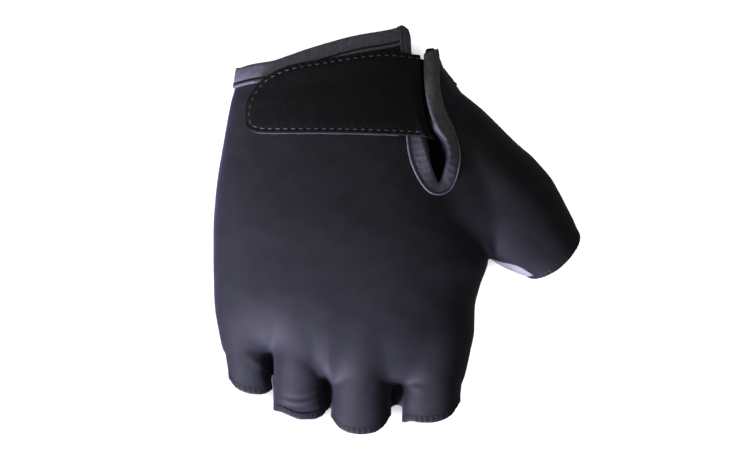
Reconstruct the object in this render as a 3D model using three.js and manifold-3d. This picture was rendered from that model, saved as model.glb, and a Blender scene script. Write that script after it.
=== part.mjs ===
// Fingerless cycling glove for the right hand, lying palm down and filled out as a hand fills it.
// Millimetres. +Z up, back of the hand up; +Y towards the wrist, -Y towards the fingers, +X towards the thumb.
// The glove is cut from one family of hollow tubes (palm, four half fingers, thumb): the same tubes drawn a
// little larger or smaller give the cloth wall, the folded tape round it and the clearance between them.
import * as THREE from "three";
import { mergeVertices } from "three/addons/utils/BufferGeometryUtils.js";
import Module from "manifold-3d";

const wasm = await Module();
wasm.setup();

// ---------------------------------------------------------------- driving sizes
const WALL = 1.6; // foam-backed stretch knit and synthetic suede
const GAP = 0.3; // clearance between neighbouring pieces
const TAPE = 0.7; // binding tape, one layer
const EASE = 0.42; // how far the folded tape stands off the cloth
const CUFF_BAND = 7.0; // how far the tape reaches in from the wrist edge
const STRAP = 1.6; // closure strap
const BACKING = 0.8; // hook sheet under the strap
const TOP_POWER = 2.2; // roundness of a section above the side seam
const BOTTOM_POWER = 2.7; // and below it, flatter
const LEAN = 0.06; // the back of the hand is higher on the index side
const FOURCHETTE_LOW = 4.5; // the finger side strips run from here up to the side seam
const WEB_REACH = 8.5; // between the fingers the cloth slopes on towards the palm side
const CROTCH_DROP = 11.7; // the little finger's crotch lies this far back of the others
const RING_POINTS = { palm: 28, finger: 16, thumb: 20, web: 12 };
const FLAP_STEPS = [2, 5]; // palm ring steps that are halved, where the lifted flap bends

// The palm, from the wrist to the crotches. left and right are the sides, bottom and top the palm and the back.
// lag is how far the row is held back on the little-finger side.
const PALM = [
  { y: 86.0, left: -58.0, right: 11.0, bottom: 1.3, seam: 13.5, top: 26.0, lag: 0 },
  { y: 72.0, left: -59.6, right: 14.4, bottom: 1.3, seam: 13.5, top: 27.0, lag: 0 },
  { y: 61.4, left: -60.7, right: 17.4, bottom: 1.3, seam: 13.5, top: 28.2, lag: 0 },
  { y: 54.0, left: -61.6, right: 20.6, bottom: 1.3, seam: 13.4, top: 29.6, lag: 0 },
  { y: 47.7, left: -63.2, right: 23.6, bottom: 0.8, seam: 13.3, top: 31.0, lag: 0 },
  { y: 32.5, left: -66.0, right: 29.0, bottom: -0.9, seam: 13.0, top: 33.5, lag: 0 },
  { y: 14.3, left: -68.8, right: 32.4, bottom: -1.5, seam: 13.0, top: 35.2, lag: 0 },
  { y: -1.0, left: -69.8, right: 34.2, bottom: -1.5, seam: 13.0, top: 36.0, lag: 0 },
  { y: -11.0, left: -69.8, right: 34.4, bottom: -1.5, seam: 13.0, top: 35.6, lag: 0 },
  { y: -22.0, left: -69.6, right: 31.0, bottom: -1.5, seam: 13.0, top: 34.6, lag: 0 },
  { y: -30.0, left: -69.2, right: 29.2, bottom: -1.4, seam: 13.0, top: 33.4, lag: 1.5 },
  { y: -38.5, left: -68.4, right: 29.0, bottom: -1.1, seam: 13.0, top: 31.6, lag: 4.6 },
  { y: -46.6, left: -67.4, right: 27.4, bottom: -0.6, seam: 13.0, top: 29.0, lag: 8.0 },
  { y: -53.0, left: -66.6, right: 25.8, bottom: 0.3, seam: 13.0, top: 25.8, lag: 10.6 },
  { y: -57.2, left: -65.4, right: 24.0, bottom: 2.4, seam: 13.0, top: 22.0, lag: 11.5 },
  { y: -59.0, left: -63.4, right: 22.0, bottom: 5.0, seam: 13.0, top: 18.6, lag: CROTCH_DROP },
];
// How much of the lag applies at x: none on the index side, all of it past the little finger's crotch.
const LAG_FROM = -26.0;
const LAG_TO = -47.0;

// Half fingers, from inside the palm to the open end. bow is how far the sides of the opening are cut back.
const FINGER_ROOT_Y = -32.0;
const FINGERS = [
  { name: "little", rootX: -57.6, tipX: -55.4, rootHalf: 9.8, tipHalf: 7.6, tipY: -62.4, rootTop: 22.5, tipTop: 17.0, bow: 5.0 },
  { name: "ring", rootX: -37.4, tipX: -36.6, rootHalf: 10.4, tipHalf: 10.2, tipY: -72.9, rootTop: 28.5, tipTop: 19.5, bow: 6.5 },
  { name: "middle", rootX: -13.7, tipX: -13.9, rootHalf: 12.2, tipHalf: 11.0, tipY: -77.7, rootTop: 30.0, tipTop: 21.0, bow: 7.5 },
  { name: "index", rootX: 13.8, tipX: 12.9, rootHalf: 12.8, tipHalf: 9.9, tipY: -73.4, rootTop: 26.5, tipTop: 20.0, bow: 6.0 },
];
const FINGER_BOTTOM = { root: 4.5, middle: 0.6, tip: 1.4 };
const FINGER_SEAM = 13.0;

// The thumb leaves the palm towards the fingers. along is measured back from the middle of its open end.
const THUMB_TIP = { x: 60.06, y: -10.45 };
const THUMB_DIR = { x: 0.677, y: -0.736 };
const THUMB_BOW = 4.4;
const THUMB = [
  { along: 84.0, upper: 14.4, lower: 12.0, bottom: 3.0, seam: 13.3, top: 20.5 },
  { along: 76.0, upper: 14.9, lower: 14.0, bottom: 1.2, seam: 13.3, top: 23.0 },
  { along: 67.0, upper: 16.3, lower: 16.0, bottom: 0.2, seam: 13.2, top: 25.6 },
  { along: 59.0, upper: 17.4, lower: 17.0, bottom: -0.5, seam: 13.0, top: 27.4 },
  { along: 42.0, upper: 18.2, lower: 18.6, bottom: -1.0, seam: 13.0, top: 28.8 },
  { along: 32.7, upper: 19.2, lower: 19.8, bottom: -1.0, seam: 13.0, top: 28.3 },
  { along: 24.5, upper: 19.0, lower: 20.0, bottom: -0.5, seam: 12.6, top: 26.8 },
  { along: 17.5, upper: 17.6, lower: 19.0, bottom: 0.2, seam: 12.2, top: 25.0 },
  { along: 11.5, upper: 16.0, lower: 17.5, bottom: 0.7, seam: 12.0, top: 23.2 },
  { along: 6.0, upper: 14.5, lower: 15.2, bottom: 1.2, seam: 11.7, top: 21.4 },
  { along: 0.0, upper: 12.4, lower: 11.9, bottom: 2.0, seam: 11.4, top: 19.6 },
];
// The back runs over from the palm to the thumb without a valley: a low saddle between them.
const WEB = [
  { x: 17.0, y: 34.0, half: 4.0, bottom: 6.0, top: 24.5 },
  { x: 21.0, y: 24.0, half: 8.0, bottom: 3.0, top: 27.4 },
  { x: 25.0, y: 13.5, half: 10.0, bottom: 1.0, top: 27.8 },
  { x: 28.5, y: 5.0, half: 9.5, bottom: 1.0, top: 26.8 },
  { x: 32.0, y: -4.0, half: 7.0, bottom: 2.0, top: 24.0 },
  { x: 34.6, y: -9.2, half: 4.6, bottom: 4.0, top: 20.5 },
  { x: 35.4, y: -11.2, half: 2.8, bottom: 6.0, top: 17.5 },
];

// The wrist edge of the back, seen from above.
const CUFF = [
  { x: -90.0, y: 54.6 },
  { x: -62.5, y: 61.4 },
  { x: -53.5, y: 63.7 },
  { x: -44.0, y: 66.5 },
  { x: -33.0, y: 69.7 },
  { x: -22.0, y: 72.7 },
  { x: -11.0, y: 75.3 },
  { x: -2.0, y: 77.1 },
  { x: 3.4, y: 77.7 },
  { x: 5.1, y: 75.9 },
];
const PALM_EDGE_Y = 61.4; // the wrist edge of the palm side, straight
// The slit in the back of the wrist: its open width, and how far the tape reaches to each side.
const SLIT = [
  { y: 66.0, bandLeft: 1.2, left: 5.3, right: 9.9, bandRight: 15.4 },
  { y: 56.0, bandLeft: 1.5, left: 5.5, right: 10.1, bandRight: 15.7 },
  { y: 45.0, bandLeft: 2.2, left: 6.6, right: 11.5, bandRight: 17.2 },
  { y: 38.0, bandLeft: 2.9, left: 8.8, right: 14.0, bandRight: 20.2 },
  { y: 33.0, bandLeft: 3.4, left: 10.8, right: 17.6, bandRight: 22.4 },
  { y: 28.0, bandLeft: 4.4, left: 12.1, right: 19.2, bandRight: 23.4 },
  { y: 22.5, bandLeft: 6.2, left: 13.6, right: 17.6, bandRight: 22.8 },
];
const SLIT_END = { x: 15.4, y: 17.2, bandX: 14.6, bandY: 12.6 };
// The thumb-side flap's top end.
const FLAP_TOP = [
  { x: 10.0, y: 68.9 },
  { x: 14.6, y: 69.3 },
  { x: 16.0, y: 67.2 },
  { x: 18.6, y: 61.4 },
];
// The strap pulls the thumb-side edge of the slit up.
const FLAP_LIFT = { x: 13.5, spreadLeft: 4.2, spreadRight: 8.0, height: 4.6, fromY: 16.0, toY: 35.0 };

// Closure strap, from its rounded free end to its root under the thumb-side flap.
const STRAP_PLAN = [
  { x: -57.8, low: 40.2, high: 42.6 },
  { x: -57.1, low: 38.2, high: 45.8 },
  { x: -55.4, low: 37.0, high: 49.6 },
  { x: -52.6, low: 36.5, high: 54.2 },
  { x: -49.2, low: 36.3, high: 57.8 },
  { x: -44.2, low: 36.2, high: 60.9 },
  { x: -34.9, low: 36.2, high: 63.9 },
  { x: -24.4, low: 36.1, high: 66.4 },
  { x: -15.0, low: 36.0, high: 68.0 },
  { x: -4.8, low: 35.7, high: 68.3 },
  { x: 5.1, low: 35.3, high: 66.4 },
  { x: 10.1, low: 35.0, high: 65.6 },
  { x: 14.0, low: 34.8, high: 65.0 },
  { x: 19.0, low: 36.0, high: 61.5 },
];
const STRAP_ROOT_X = 15.8;
const STRAP_DROP = 1.5; // the strap hangs this far clear under the flap's tape
const STRAP_LIFT = { over: 1.68, under: -(WALL + EASE + TAPE + STRAP_DROP + STRAP) };
const BACKING_PLAN = { fromX: -56.4, toX: 0.3, out: 0.7 };

// The side seam rises between thumb and index, so that the palm side shows there from above.
const THUMB_CROTCH = { x: 43.5, y: -16.0, spread: 9.5, height: 5.4 };
const SEAM_Z = 13.0;

// ---------------------------------------------------------------- tables
// Smooth monotone interpolation of one column of a table whose key column falls or rises.
function column(table, key, name) {
  const rows = [...table].sort((a, b) => a[key] - b[key]);
  const x = rows.map((r) => r[key]);
  const y = rows.map((r) => r[name]);
  const n = x.length;
  const chord = x.slice(1).map((v, i) => (y[i + 1] - y[i]) / (v - x[i]));
  const slope = x.map((_, i) => {
    if (i === 0) return chord[0];
    if (i === n - 1) return chord[n - 2];
    const a = chord[i - 1];
    const b = chord[i];
    return a * b <= 0 ? 0 : (2 * a * b) / (a + b);
  });
  return (v) => {
    if (v <= x[0]) return y[0] + (v - x[0]) * slope[0];
    if (v >= x[n - 1]) return y[n - 1] + (v - x[n - 1]) * slope[n - 1];
    let i = 0;
    while (v > x[i + 1]) i++;
    const h = x[i + 1] - x[i];
    const t = (v - x[i]) / h;
    return (
      y[i] * (1 + 2 * t) * (1 - t) ** 2 +
      h * slope[i] * t * (1 - t) ** 2 +
      y[i + 1] * t * t * (3 - 2 * t) +
      h * slope[i + 1] * t * t * (t - 1)
    );
  };
}
const columns = (table, key, names) =>
  Object.fromEntries(names.map((name) => [name, column(table, key, name)]));
const clamp = (v, lo, hi) => Math.min(hi, Math.max(lo, v));
const mix = (a, b, t) => a + (b - a) * t;
const smooth = (a, b, v) => {
  const t = clamp((v - a) / (b - a), 0, 1);
  return t * t * (3 - 2 * t);
};

const palm = columns(PALM, "y", ["left", "right", "bottom", "seam", "top", "lag"]);
const thumb = columns(THUMB, "along", ["upper", "lower", "bottom", "seam", "top"]);
const slit = columns(SLIT, "y", ["bandLeft", "left", "right", "bandRight"]);
const cuffY = column(CUFF.slice(0, -1), "x", "y");
const strapLow = column(STRAP_PLAN, "x", "low");
const strapHigh = column(STRAP_PLAN, "x", "high");

const lagShare = (x) => clamp((LAG_FROM - x) / (LAG_FROM - LAG_TO), 0, 1);
// The lift fades out down the sides of a section; rise is the sine of the turn about its middle.
const raised = (rise) => smooth(0.1, 0.5, rise);
const flapLift = (x, y) =>
  FLAP_LIFT.height *
  Math.exp(
    -(((x - FLAP_LIFT.x) / (x < FLAP_LIFT.x ? FLAP_LIFT.spreadLeft : FLAP_LIFT.spreadRight)) ** 2),
  ) *
  smooth(FLAP_LIFT.fromY, FLAP_LIFT.toY, y);
const seamZ = (x, y) =>
  SEAM_Z +
  THUMB_CROTCH.height *
    Math.exp(
      -((x - THUMB_CROTCH.x) ** 2 + (y - THUMB_CROTCH.y) ** 2) / THUMB_CROTCH.spread ** 2,
    );

// ---------------------------------------------------------------- solids
const toVector = (x, y, z) => new THREE.Vector3(x, y, z);

// A closed triangle mesh as a solid, facing out.
function solid(vertices, triangles) {
  const made = (tris) =>
    new wasm.Manifold(
      new wasm.Mesh({
        numProp: 3,
        vertProperties: new Float32Array(vertices.flatMap((v) => [v.x, v.y, v.z])),
        triVerts: new Uint32Array(tris.flat()),
      }),
    );
  const first = made(triangles);
  return first.volume() > 0 ? first : made(triangles.map(([a, b, c]) => [a, c, b]));
}

// Rings of equal length joined into a closed tube. Its ends are laddered from side to side.
function tube(rings) {
  const n = rings[0].length;
  const vertices = rings.flat();
  const triangles = [];
  for (let i = 0; i + 1 < rings.length; i++)
    for (let k = 0; k < n; k++) {
      const a = i * n + k;
      const b = i * n + ((k + 1) % n);
      triangles.push([a, b, b + n], [a, b + n, a + n]);
    }
  const ladder = (start, flip) => {
    for (let k = 0; k < n / 2; k++) {
      const q = [k, k + 1, n - k - 1, (n - k) % n].map((v) => start + v);
      if (q[0] !== q[3]) triangles.push(flip ? [q[0], q[1], q[3]] : [q[0], q[3], q[1]]);
      if (q[1] !== q[2]) triangles.push(flip ? [q[1], q[2], q[3]] : [q[1], q[3], q[2]]);
    }
  };
  ladder(0, false);
  ladder((rings.length - 1) * n, true);
  return solid(vertices, triangles);
}

// An upright prism over a plan outline.
function prism(outline, low, high) {
  const shape = new THREE.Shape(outline.map((p) => new THREE.Vector2(p.x, p.y)));
  const geometry = new THREE.ExtrudeGeometry(shape, { depth: high - low, bevelEnabled: false });
  geometry.translate(0, 0, low);
  geometry.deleteAttribute("normal");
  geometry.deleteAttribute("uv");
  const merged = mergeVertices(geometry, 1e-4);
  return new wasm.Manifold(
    new wasm.Mesh({
      numProp: 3,
      vertProperties: merged.attributes.position.array,
      triVerts: new Uint32Array(merged.index.array),
    }),
  );
}

// A slab between two height functions over a rectangle of the plan.
function slab(xs, ys, low, high) {
  const vertices = [];
  const triangles = [];
  const nx = xs.length;
  const layer = nx * ys.length;
  for (const height of [low, high])
    for (const y of ys) for (const x of xs) vertices.push(height(x, y));
  const at = (i, j, top) => (top ? layer : 0) + j * nx + i;
  for (let j = 0; j + 1 < ys.length; j++)
    for (let i = 0; i + 1 < nx; i++) {
      const q = (t) => [at(i, j, t), at(i + 1, j, t), at(i + 1, j + 1, t), at(i, j + 1, t)];
      const [a, b, c, d] = q(true);
      triangles.push([a, b, c], [a, c, d]);
      const [e, f, g, h] = q(false);
      triangles.push([e, g, f], [e, h, g]);
    }
  const edge = (i, j, k, l) =>
    triangles.push(
      [at(i, j, false), at(k, l, false), at(k, l, true)],
      [at(i, j, false), at(k, l, true), at(i, j, true)],
    );
  const ny = ys.length;
  for (let i = 0; i + 1 < nx; i++) {
    edge(i, 0, i + 1, 0);
    edge(i + 1, ny - 1, i, ny - 1);
  }
  for (let j = 0; j + 1 < ny; j++) {
    edge(nx - 1, j, nx - 1, j + 1);
    edge(0, j + 1, 0, j);
  }
  return solid(vertices, triangles);
}
const steps = (from, to, count) =>
  Array.from({ length: count + 1 }, (_, i) => mix(from, to, i / count));
const grid = (f) => (x, y) => toVector(x, y, f(x, y));

// One section: its half widths and heights about the seam line, all drawn larger by grow.
function section({ upper, lower = upper, bottom, seam, top }, grow, count, halved = [0, 0]) {
  const turns = Array.from({ length: count }, (_, k) => k).flatMap((k) => {
    const [from, to] = k < count / 2 ? halved : [count - halved[1], count - halved[0]];
    return k >= from && k < to ? [k, k + 0.5] : [k];
  });
  return turns.map((k) => {
    const angle = (2 * Math.PI * k) / count;
    const c = Math.cos(angle);
    const s = Math.sin(angle);
    const power = s >= 0 ? TOP_POWER : BOTTOM_POWER;
    const reach = (Math.abs(c) ** power + Math.abs(s) ** power) ** (-1 / power);
    const u = reach * c;
    const v = reach * s;
    const height = s >= 0 ? (top - seam + grow) * (1 + LEAN * u) : seam - bottom + grow;
    return {
      across: ((u > 0 ? upper : lower) + grow) * u,
      z: seam + height * v,
      side: 1 - Math.abs(s),
      under: s < 0,
      raised: raised(s),
    };
  });
}

function palmTube(grow, inside) {
  const at = [86, 70, 57, 44, 29, 12, -4, -17, -28, -38, -46, -53, -57.2, -59];
  const rings = at.map((y) => {
    const row = Object.fromEntries(Object.entries(palm).map(([k, f]) => [k, f(y)]));
    const middle = (row.left + row.right) / 2;
    return section({ ...row, upper: (row.right - row.left) / 2 }, grow, RING_POINTS.palm, FLAP_STEPS).map(
      (p) => {
        const x = middle + p.across;
        const depth = smooth(0, 0.7, (row.seam - p.z) / (row.seam - row.bottom));
        const between = 1 - Math.abs((2 * p.across) / (row.right - row.left)) ** 4;
        const back =
          row.lag * lagShare(x) +
          (inside ? WALL : 0) * smooth(-50, -59, y) -
          WEB_REACH * depth * between * smooth(-44, -59, y);
        return toVector(x, y + back, p.z + flapLift(x, y) * p.raised);
      },
    );
  });
  if (inside) rings.unshift(rings[0].map((v) => v.clone().setY(v.y + 8)));
  return tube(rings);
}

function fingerTube(finger, grow, inside) {
  const rings = [0, 0.35, 0.7, 1].map((t) => {
    const y = mix(FINGER_ROOT_Y, finger.tipY, t);
    const row = {
      upper: mix(finger.rootHalf, finger.tipHalf, t),
      bottom:
        mix(FINGER_BOTTOM.root, FINGER_BOTTOM.middle, smooth(0, 0.4, t)) +
        (FINGER_BOTTOM.tip - FINGER_BOTTOM.middle) * smooth(0.4, 1, t),
      seam: FINGER_SEAM,
      top: mix(finger.rootTop, finger.tipTop, t * t * (1.6 - 0.6 * t)),
    };
    const middle = mix(finger.rootX, finger.tipX, t);
    return section(row, grow, RING_POINTS.finger).map((p) =>
      toVector(
        middle + p.across,
        y + finger.bow * t ** 3 * (p.under ? 0.45 + 0.55 * p.side : p.side),
        p.z,
      ),
    );
  });
  if (inside) rings.push(rings.at(-1).map((v) => v.clone().setY(v.y - 12)));
  return tube(rings);
}

function thumbTube(grow, inside) {
  const d = THUMB_DIR;
  const rings = [84, 64, 46, 34, 24, 15, 7, 0].map((along) => {
    const row = Object.fromEntries(Object.entries(thumb).map(([k, f]) => [k, f(along)]));
    return section(row, grow, RING_POINTS.thumb).map((p) => {
      const bow = THUMB_BOW * (1 - p.side) * (p.under ? 0.5 : 1) * smooth(14, 0, along);
      const s = bow - along;
      return toVector(
        THUMB_TIP.x + d.x * s - d.y * p.across,
        THUMB_TIP.y + d.y * s + d.x * p.across,
        p.z,
      );
    });
  });
  if (inside)
    rings.push(rings.at(-1).map((v) => v.clone().add(toVector(d.x * 10, d.y * 10, 0))));
  return tube(rings);
}

function webTube(grow) {
  return tube(
    WEB.map((row, i) => {
      const back = WEB[Math.max(0, i - 1)];
      const next = WEB[Math.min(WEB.length - 1, i + 1)];
      const run = new THREE.Vector2(next.x - back.x, next.y - back.y).normalize();
      return section({ ...row, upper: row.half, seam: SEAM_Z }, grow, RING_POINTS.web).map((p) =>
        toVector(row.x - run.y * p.across, row.y + run.x * p.across, p.z),
      );
    }),
  );
}

const WIDE = 120;
const outlineBox = (x0, y0, x1, y1) => [
  { x: x0, y: y0 },
  { x: x1, y: y0 },
  { x: x1, y: y1 },
  { x: x0, y: y1 },
];
const everywhere = outlineBox(-WIDE, -WIDE, WIDE, WIDE);

// The whole glove as one lump, drawn larger by grow. Inside lumps run on through the openings.
function lump(grow, { inside = false, floor = null } = {}) {
  let made = palmTube(grow, inside);
  for (const finger of FINGERS) made = made.add(fingerTube(finger, grow, inside));
  made = made.add(thumbTube(grow, inside)).add(webTube(grow));
  return floor === null ? made : made.intersect(prism(everywhere, floor, 80));
}
const cloth = lump(0, { floor: 0 }).subtract(lump(-WALL, { inside: true, floor: WALL }));
const clear = lump(EASE).subtract(lump(-WALL - EASE, { inside: true }));
const taped = lump(EASE + TAPE).subtract(lump(-WALL - EASE - TAPE, { inside: true }));

// Above or below the side seam, with half the clearance taken off.
const seamX = [-90, ...steps(22, 66, 11), 90];
const seamY = [-100, ...steps(-38, 8, 12), 100];
const above = (gap) => slab(seamX, seamY, grid((x, y) => seamZ(x, y) + gap), grid(() => 80));
const below = (gap) => slab(seamX, seamY, grid(() => -20), grid((x, y) => seamZ(x, y) - gap));

// The back's plan outline, from the little-finger side along the wrist, round the slit and over the flap,
// moved in by inset.
function backOutline(inset) {
  const edge = [
    ...CUFF,
    ...SLIT.map((r) => ({ x: r.left, y: r.y })),
    { x: SLIT_END.x - 0.5, y: SLIT_END.y },
    { x: SLIT_END.x + 0.5, y: SLIT_END.y },
    ...[...SLIT].reverse().map((r) => ({ x: r.right, y: r.y })),
    ...FLAP_TOP,
    { x: 90, y: 61.0 },
  ];
  const moved = edge.map((p, i) => {
    const a = edge[Math.max(0, i - 1)];
    const b = edge[Math.min(edge.length - 1, i + 1)];
    const one = new THREE.Vector2(p.x - a.x, p.y - a.y).normalize();
    const two = new THREE.Vector2(b.x - p.x, b.y - p.y).normalize();
    const along = one.clone().add(two).normalize();
    const reach = inset / Math.max(0.5, Math.abs(along.dot(i === 0 ? two : one)));
    return { x: p.x + along.y * reach, y: p.y - along.x * reach };
  });
  return [...moved, { x: 90, y: -WIDE }, { x: -90, y: -WIDE }];
}
const slitBand = [
  { x: SLIT[0].bandLeft - 0.1, y: 90 },
  ...SLIT.map((r) => ({ x: r.bandLeft, y: r.y })),
  { x: SLIT_END.bandX - 5.2, y: SLIT_END.bandY + 3.6 },
  { x: SLIT_END.bandX - 2.2, y: SLIT_END.bandY + 0.5 },
  { x: SLIT_END.bandX + 1.4, y: SLIT_END.bandY },
  { x: SLIT_END.bandX + 5.2, y: SLIT_END.bandY + 2.4 },
  ...[...SLIT].reverse().map((r) => ({ x: r.bandRight, y: r.y })),
  { x: SLIT[0].bandRight, y: 90 },
];
const cuffBand = [
  ...CUFF.slice(0, -2).map((p) => ({ x: p.x, y: p.y - CUFF_BAND })),
  { x: SLIT[0].bandLeft - 0.1 - GAP, y: cuffY(SLIT[0].bandLeft) - CUFF_BAND },
  { x: SLIT[0].bandLeft - 0.1 - GAP, y: 90 },
  { x: -90, y: 90 },
];

// A point on the back of the palm tube, moved off it square to the surface, and up with the lifted flap.
function onBack(x, y, off) {
  const around = (px, py) => {
    const middle = (palm.left(py) + palm.right(py)) / 2;
    const u = clamp(((px - middle) * 2) / (palm.right(py) - palm.left(py)), -0.999, 0.999);
    return [u, (1 - Math.abs(u) ** TOP_POWER) ** (1 / TOP_POWER)];
  };
  const height = (px, py) => {
    const [u, v] = around(px, py);
    return palm.seam(py) + (palm.top(py) - palm.seam(py)) * v * (1 + LEAN * u);
  };
  const e = 0.2;
  const normal = toVector(
    (height(x - e, y) - height(x + e, y)) / (2 * e),
    (height(x, y - e) - height(x, y + e)) / (2 * e),
    1,
  ).normalize();
  const [u, v] = around(x, y);
  return toVector(x, y, height(x, y) + flapLift(x, y) * raised(v / Math.hypot(u, v))).addScaledVector(
    normal,
    off,
  );
}
const SHARES = [0, 0.12, 0.28, 0.5, 0.74, 1];
// A sheet lying on the back: share runs across the sheet from its low edge to its high one.
function sheet(xs, low, high, lift, thick) {
  const point = (extra) => (x, share) => {
    const y = mix(low(x), high(x), share);
    return onBack(x, y, lift(x, y) + extra);
  };
  return slab(xs, SHARES, point(0), point(thick));
}

// ---------------------------------------------------------------- the pieces
const fingerX = (finger, y) =>
  mix(finger.rootX, finger.tipX, clamp((y - FINGER_ROOT_Y) / (finger.tipY - FINGER_ROOT_Y), 0, 1));
// The strip of plan between the middle lines of two neighbouring fingers.
const between = (a, b, gap) => {
  const far = -WIDE;
  const near = -40;
  return [
    { x: fingerX(a, near) - gap, y: near },
    { x: fingerX(a, -80) - gap, y: far },
    { x: fingerX(b, -80) + gap, y: far },
    { x: fingerX(b, near) + gap, y: near },
  ];
};
const pairs = FINGERS.slice(1).map((finger, i) => [FINGERS[i], finger]);

const half = GAP / 2;
const backPanel = cloth.intersect(above(half)).intersect(prism(backOutline(GAP + TAPE), -5, 60));
let palmPanel = cloth
  .intersect(below(half))
  .intersect(prism(outlineBox(-WIDE, -WIDE, WIDE, PALM_EDGE_Y - GAP - TAPE), -5, 60));
const fourchettes = pairs.map(([a, b]) => {
  const strip = cloth
    .intersect(below(half))
    .intersect(prism(between(a, b, 0), FOURCHETTE_LOW + half, 40));
  palmPanel = palmPanel.subtract(prism(between(a, b, half), FOURCHETTE_LOW - half, 40));
  return { name: `fourchette_${a.name}_${b.name}`, made: strip };
});

const strapX = [
  -57.8, -57.1, -55.4, -52.6, -49.2, -44.2, -37, -28, -19, -10, -2, 4.6, 5.8, 7.1, 8.4, 9.7, 11,
  12.3, 13.6, STRAP_ROOT_X,
];
const slitMiddle = (y) => (slit.left(y) + slit.right(y)) / 2;
const strapLift = (x, y) =>
  mix(STRAP_LIFT.over, STRAP_LIFT.under, smooth(-1.5, 1.4, x - slitMiddle(y)));
const strap = sheet(strapX, strapLow, strapHigh, strapLift, STRAP);
const backing = sheet(
  [BACKING_PLAN.fromX, -55.4, -52.6, -49.2, -44.2, -37, -30, -22, -14, -8, BACKING_PLAN.toX],
  (x) => strapLow(x) - BACKING_PLAN.out * smooth(-57.5, -52, x),
  (x) => Math.min(strapHigh(x) - 0.8, cuffY(x) - CUFF_BAND - 0.8),
  () => EASE,
  BACKING - 0.1,
);

const tapeAround = (band, inside) =>
  taped.intersect(prism(band, -5, 60)).intersect(inside).subtract(
    clear.intersect(prism(backOutline(TAPE), -5, 60)).intersect(inside),
  );
const palmTape = taped
  .intersect(prism(outlineBox(-WIDE, PALM_EDGE_Y - CUFF_BAND, WIDE, PALM_EDGE_Y), -5, 60))
  .subtract(clear.intersect(prism(outlineBox(-WIDE, 0, WIDE, PALM_EDGE_Y - TAPE), -5, 60)))
  .intersect(below(0))
  .subtract(prism(outlineBox(0, 40, WIDE, 90), SEAM_Z - half, 40));
const backOver = prism(backOutline(0), -5, 60);
const cuffBinding = tapeAround(cuffBand, backOver).intersect(above(0)).add(palmTape);
const slitBinding = tapeAround(slitBand, backOver).intersect(above(GAP));

// ---------------------------------------------------------------- the glove
const black = { color: 0x24242b, roughness: 0.62, metalness: 0 };
const grey = { color: 0x63636f, roughness: 0.7, metalness: 0 };
const suede = { color: 0xa9a8b8, roughness: 0.92, metalness: 0 };
const pieces = [
  { name: "back_panel", made: backPanel, look: black },
  { name: "palm_panel", made: palmPanel, look: suede },
  ...fourchettes.map((f) => ({ ...f, look: { ...black, color: 0x141417 } })),
  { name: "cuff_binding", made: cuffBinding, look: grey },
  { name: "slit_binding", made: slitBinding, look: grey },
  { name: "closure_strap", made: strap, look: { ...black, color: 0x131412, roughness: 0.85 } },
  { name: "strap_backing", made: backing, look: { ...grey, color: 0x55555c } },
];

function meshOf({ name, made, look }) {
  // Crumbs that a cut leaves beside the piece are dropped.
  const bodies = made.decompose().sort((a, b) => b.volume() - a.volume());
  const m = bodies[0].getMesh();
  const geometry = new THREE.BufferGeometry();
  const position = new Float32Array(m.numVert * 3);
  for (let i = 0; i < m.numVert; i++)
    position.set(m.vertProperties.subarray(i * m.numProp, i * m.numProp + 3), i * 3);
  geometry.setAttribute("position", new THREE.BufferAttribute(position, 3));
  geometry.setIndex(new THREE.BufferAttribute(new Uint32Array(m.triVerts), 1));
  geometry.computeVertexNormals();
  const mesh = new THREE.Mesh(geometry, new THREE.MeshStandardMaterial(look));
  mesh.name = name;
  return mesh;
}

const glove = new THREE.Group();
for (const piece of pieces) glove.add(meshOf(piece));

export default glove;
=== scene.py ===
import math

import bpy
import numpy as np
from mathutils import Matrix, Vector


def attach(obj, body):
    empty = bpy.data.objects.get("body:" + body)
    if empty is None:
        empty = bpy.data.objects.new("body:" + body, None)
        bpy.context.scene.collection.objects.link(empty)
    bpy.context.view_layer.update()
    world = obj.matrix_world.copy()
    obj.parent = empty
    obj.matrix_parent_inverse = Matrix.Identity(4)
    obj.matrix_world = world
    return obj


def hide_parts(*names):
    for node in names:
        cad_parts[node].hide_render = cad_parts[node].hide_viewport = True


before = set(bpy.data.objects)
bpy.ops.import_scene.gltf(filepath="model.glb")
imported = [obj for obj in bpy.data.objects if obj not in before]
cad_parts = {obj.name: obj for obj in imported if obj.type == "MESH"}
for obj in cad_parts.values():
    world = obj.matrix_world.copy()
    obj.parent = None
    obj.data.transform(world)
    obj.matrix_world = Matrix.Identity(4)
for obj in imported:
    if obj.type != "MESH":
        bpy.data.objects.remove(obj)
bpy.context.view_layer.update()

MM = 0.001
rng = np.random.default_rng(11)

# ------------------------------------------------------------------ sizes, as in the CAD model
WALL, TAPE, EASE, GAP = 1.6, 0.7, 0.42, 0.3
CUFF_BAND, STRAP, TOP_POWER, BOTTOM_POWER, LEAN = 6.4, 1.6, 2.2, 2.7, 0.06
FOURCHETTE_LOW, WEB_REACH, CROTCH_DROP = 4.5, 8.5, 11.7
PALM_EDGE_Y, SEAM_Z = 61.4, 13.0


def table(names, rows):
    a = np.array(rows, float)
    return {n: a[:, i] for i, n in enumerate(names.split())}


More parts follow.
